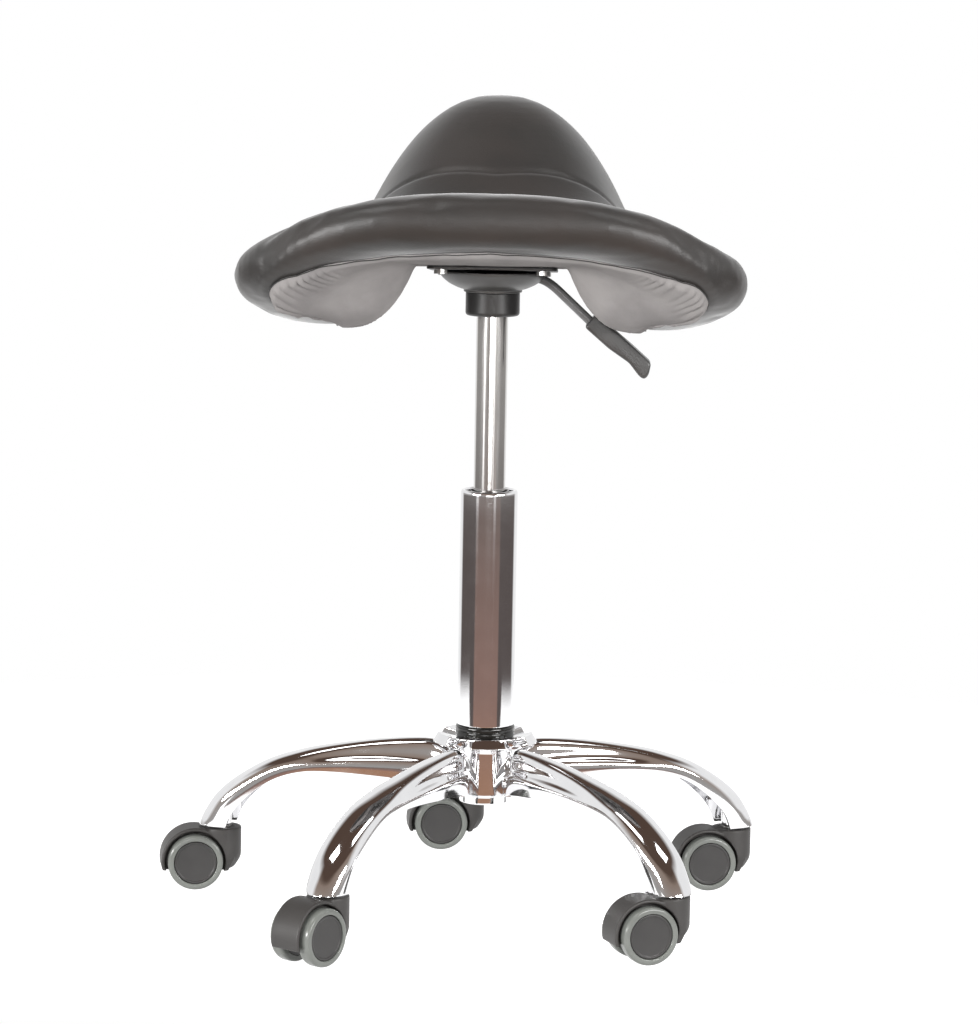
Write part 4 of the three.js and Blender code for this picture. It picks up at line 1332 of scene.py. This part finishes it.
# Casters, made with the swivel axis at the origin and the axle along X
def hood_mesh():
    rear, front = (math.radians(a) for a in hood_angles_deg)
    outer = wheel_radius + hood_clearance + hood_wall
    outline = [
        (0, neck_top - neck_edge),
        (neck_foot_radius, neck_base),
        (neck_foot_radius / 2, neck_foot_height),
        (-wheel_trail / 2, belly_height),
        (-wheel_trail, belly_height),
    ]
    for k in range(hood_steps + 1):
        angle = mix(rear, front, k / hood_steps)
        outline.append((-wheel_trail + outer * math.cos(angle), wheel_radius + outer * math.sin(angle)))
    corners = [
        (0, neck_foot_height, 0),
        (neck_foot_radius, neck_foot_height, neck_rounding),
        (neck_radius, neck_base, neck_rounding),
        (neck_radius, neck_top, neck_edge),
        (0, neck_top, 0),
    ]
    neck = lathe("neck", corners, sides=64, closed=False)
    body = boolean(prism("hood", outline, hood_half_width), neck, "UNION")
    space_radius = wheel_radius + hood_clearance
    for side in (-1, 1):
        space = cylinder_along_y(space_radius, web_half_width, neck_radius + hood_wall, side)
        space.transform(Matrix.Translation((-wheel_trail, 0, wheel_radius)))
        body = boolean(body, space, "DIFFERENCE")
    body = with_modifiers(body, cubes(hood_voxel), smoothing(5))
    body.transform(Matrix.Rotation(math.radians(90), 4, "Z"))
    return body


def cylinder_along_y(radius, near, far, side):
    corners = [(0, near, 0), (radius, near, 0), (radius, far, 0), (0, far, 0)]
    work = lathe("space", corners, sides=64, closed=False)
    work.transform(Matrix.Rotation(math.radians(-90 * side), 4, "X"))
    return work


def tyre_mesh():
    inner = wheel_radius - tyre_thickness
    corners = [
        (inner, wheel_inner_face, tyre_inner_edge),
        (wheel_radius, wheel_inner_face, tyre_round),
        (wheel_radius, wheel_outer_face, tyre_round),
        (inner, wheel_outer_face, tyre_outer_edge),
    ]
    return lathe("tyre", corners, 6)


def disc_mesh():
    rim = wheel_radius - tyre_thickness - seat_gap
    face = wheel_outer_face - core_recess
    bore = axle_radius + running_gap
    bore_end = face - core_end_wall + running_gap
    step_start, step_end = (rim * share for share in disc_step_shares)
    corners = [
        (0, bore_end, 0),
        (bore, bore_end, 0),
        (bore, wheel_inner_face, 0),
        (rim, wheel_inner_face, disc_inner_edge),
        (rim, face, disc_rim_edge),
        (step_start, face, disc_step_edge),
        (step_end, face - disc_step, disc_step_edge),
        (0, face - disc_step, 0),
    ]
    return lathe("disc", corners, closed=False)


def make_casters():
    hood = hood_mesh()
    tyre = tyre_mesh()
    disc = disc_mesh()
    for name, turn, axle_turn in arms:
        angle = arm_angle(turn)
        foot = Matrix.Translation((caster_circle * math.cos(angle), caster_circle * math.sin(angle), 0))
        spin = Matrix.Rotation(math.radians(axle_turn - 90), 4, "Z")
        place = at_column @ foot @ spin
        housing = (f"caster_housing_{name}",)
        piece(f"hood_{name}", hood, hood_plastic, f"caster_{name}", place, housing)
        for letter, side in (("a", 1), ("b", -1)):
            wheel = f"{name}_{letter}"
            body = f"wheel_{wheel}"
            lean = Matrix.Rotation(side * math.pi / 2, 4, "Y")
            axle = place @ (Matrix.Translation((0, -wheel_trail, wheel_radius)) @ lean)
            piece(f"tread_{wheel}", tyre, tread_rubber, body, axle, (f"tyre_{wheel}",))
            piece(f"disc_{wheel}", disc, disc_plastic, body, axle, (f"wheel_core_{wheel}",))


def dress_solids():
    """Materials for the solids that stay as they are."""
    looks = {"guide_sleeve": black_plastic, "thrust_bearing": zinc, "piston_rod": zinc, "release_pin": zinc}
    for place in ("rear_left", "rear_right", "front_left", "front_right"):
        looks[f"plate_bolt_{place}"] = zinc
    for name, _, _ in arms:
        looks[f"caster_stem_{name}"] = zinc
        looks[f"caster_axle_{name}"] = zinc
    for name, material in looks.items():
        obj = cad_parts[name]
        obj.data.materials.clear()
        obj.data.materials.append(material)


# Studio: floor, soft lights, surroundings and camera
floor_size = 3.0
floor_fade_radius = (1.0, 1.2)
floor_front_fade = (-0.34, -0.43)
floor_colour = (0.45, 0.447, 0.447)
floor_cloud_share = 1.02
lamps = {
    "key_softbox": {"place": (-1.3, -0.9, 3.3), "size": 1.4, "height": 1.0, "power": 26},
    "fill_softbox": {"place": (1.6, -0.6, 3.1), "size": 1.2, "height": 1.0, "power": 18},
    "left_strip": {"place": (-2.4, -2.0, 0.8), "size": 1.8, "height": 0.35, "power": 95},
    "right_strip": {"place": (2.2, -2.0, 0.8), "size": 1.8, "height": 0.35, "power": 72},
    "front_strip": {"place": (0.2, -3.8, 0.2), "size": 1.6, "height": 0.25, "power": 20},
}
lamp_aim_height = 0.45
world_levels = (0.22, 0.6)
world_turn = (0.5, -0.6)

# Surroundings that only reflections see: sectors of the turn round the stool, and colours by height
wide_sector = [(0.59, 1), (0.62, 0), (0.88, 0), (0.91, 1)]
narrow_sector = [(0.02, 0), (0.06, 1), (0.44, 1), (0.48, 0)]
centre_sector = [(0.105, 0), (0.12, 1), (0.38, 1), (0.395, 0)]
low_colours = [
    (0.35, (0.5, 0.28, 0.17)),
    (0.4, (0.43, 0.24, 0.155)),
    (0.4075, (0.32, 0.2, 0.17)),
    (0.422, (0.27, 0.18, 0.155)),
    (0.435, (0.19, 0.145, 0.13)),
]
low_side_colour = (0.12, 0.1, 0.095)
high_colours = [
    (0.45, (0.4, 0.39, 0.38)),
    (0.6, (0.36, 0.31, 0.28)),
    (0.78, (0.3, 0.23, 0.19)),
    (0.83, (0.1, 0.065, 0.05)),
]
low_to_high = (-0.128, -0.118)
sector_change = (0, 0.05)
window_sides = [(0.1, 0), (0.112, 1), (0.13, 1), (0.142, 0), (0.3, 0), (0.31, 0.9), (0.326, 0.9), (0.336, 0)]
window_heights = [(0.436, 0), (0.444, 1), (0.49, 1), (0.5, 0)]
window_level = 2.4
ceiling_edge = (0.78, 0.86)
ceiling_colour = (0.1, 0.065, 0.05)


def make_floor():
    half = floor_size / 2
    verts = [(-half, -half, 0), (half, -half, 0), (half, half, 0), (-half, half, 0)]
    mesh = mesh_of("floor", verts, [(0, 1, 2, 3)])
    material, kit, shader, place = start_material("floor_paper")
    paler = tuple(min(1, c * floor_cloud_share) for c in floor_colour)
    cloud = kit.noise(place, 3, 2)
    kit.feed(shader, {"Base Color": kit.clouds(cloud, floor_colour, paler), "Roughness": 0.75})
    camera_ray = kit.add("LightPath", "Is Camera Ray")
    glossy_ray = kit.add("LightPath", "Is Glossy Ray")
    glow = kit.add("Emission", "Emission", {"Strength": kit.calculate("MAXIMUM", camera_ray, glossy_ray)})
    both = kit.add("AddShader", "Shader", {0: shader.outputs["BSDF"], 1: glow})
    away = kit.add("VectorMath", "Value", {0: place}, operation="LENGTH")
    forward = kit.add("SeparateXYZ", "Y", {"Vector": place})
    ends = kit.between(away, floor_fade_radius), kit.between(forward, floor_front_fade)
    clear = kit.add("BsdfTransparent", "BSDF")
    faded = kit.add("MixShader", "Shader", {"Fac": kit.calculate("MAXIMUM", *ends), 1: both, 2: clear})
    kit.feed(kit.nodes["Material Output"], {"Surface": faded})
    add_object("floor", mesh, material)


def add_area_light(name, settings):
    light = bpy.data.lights.new(name, "AREA")
    light.energy = settings["power"]
    light.shape = "RECTANGLE"
    light.size = settings["size"]
    light.size_y = settings["height"]
    obj = bpy.data.objects.new(name, light)
    scene.collection.objects.link(obj)
    obj.location = settings["place"]
    aim = Vector((column_x, column_y, lamp_aim_height)) - obj.location
    obj.rotation_euler = aim.to_track_quat("-Z", "Y").to_euler()


def make_world():
    world = bpy.data.worlds.new("studio")
    scene.world = world
    kit = Nodes(world)
    kit.nodes.clear()
    direction = kit.add("TexCoord", "Generated")
    turn = kit.add("TexGradient", "Fac", {"Vector": direction}, gradient_type="RADIAL")
    forward = kit.add("SeparateXYZ", "Y", {"Vector": direction})
    rise = kit.add("SeparateXYZ", "Z", {"Vector": direction})
    up = kit.between(rise, (-1, 1))
    low = kit.blend(kit.stops(turn, centre_sector), low_side_colour, kit.stops(up, low_colours))
    front = kit.blend(kit.between(rise, low_to_high), low, kit.stops(up, high_colours))
    back = kit.stops(up, [(ceiling_edge[0], 1), (ceiling_edge[1], ceiling_colour)])
    wide = kit.stops(turn, wide_sector)
    narrow = kit.stops(turn, narrow_sector)
    sector = kit.blend(kit.between(rise, sector_change), wide, narrow)
    panes = kit.calculate("MULTIPLY", kit.stops(turn, window_sides), kit.stops(up, window_heights))
    window = (window_level, window_level, window_level)
    room = kit.blend(panes, kit.blend(sector, back, front), window)
    plain = kit.add("Background", "Background", {"Strength": kit.between(forward, world_turn, world_levels)})
    white = kit.add("Background", "Background", {"Color": (1, 1, 1, 1)})
    mirrored = kit.add("Background", "Background", {"Color": room})
    camera_ray = kit.add("LightPath", "Is Camera Ray")
    glossy_ray = kit.add("LightPath", "Is Glossy Ray")
    seen = kit.add("MixShader", "Shader", {"Fac": camera_ray, 1: plain, 2: white})
    both = kit.add("MixShader", "Shader", {"Fac": glossy_ray, 1: seen, 2: mirrored})
    kit.feed(kit.nodes.new("ShaderNodeOutputWorld"), {"Surface": both})


def make_camera():
    turn = math.radians(camera_turn_deg)
    pitch = math.radians(camera_pitch_deg)
    roll = math.radians(camera_roll_deg)
    level = Vector((-math.sin(turn), math.cos(turn), 0))
    forward = level * math.cos(pitch) - Vector((0, 0, 1)) * math.sin(pitch)
    flat_right = level.cross(Vector((0, 0, 1)))
    flat_up = flat_right.cross(forward)
    right = flat_right * math.cos(roll) + flat_up * math.sin(roll)
    up = flat_up * math.cos(roll) - flat_right * math.sin(roll)
    data = bpy.data.cameras.new("photo_camera")
    data.lens = camera_lens_mm
    data.sensor_width = camera_sensor_mm
    obj = bpy.data.objects.new("photo_camera", data)
    scene.collection.objects.link(obj)
    place = Vector((column_x, column_y, camera_height)) - level * camera_distance
    obj.matrix_world = Matrix(
        (
            (right.x, up.x, -forward.x, place.x),
            (right.y, up.y, -forward.y, place.y),
            (right.z, up.z, -forward.z, place.z),
            (0, 0, 0, 1),
        )
    )
    scene.camera = obj


make_camera()
make_cushion()
make_board()
make_dust_cover()
make_seam_cord_and_painted_shadow()
make_base()
make_column()
make_mechanism()
make_lever()
make_casters()
dress_solids()
make_floor()
for lamp_name, lamp in lamps.items():
    add_area_light(lamp_name, lamp)
make_world()
scene.view_settings.view_transform = "Standard"
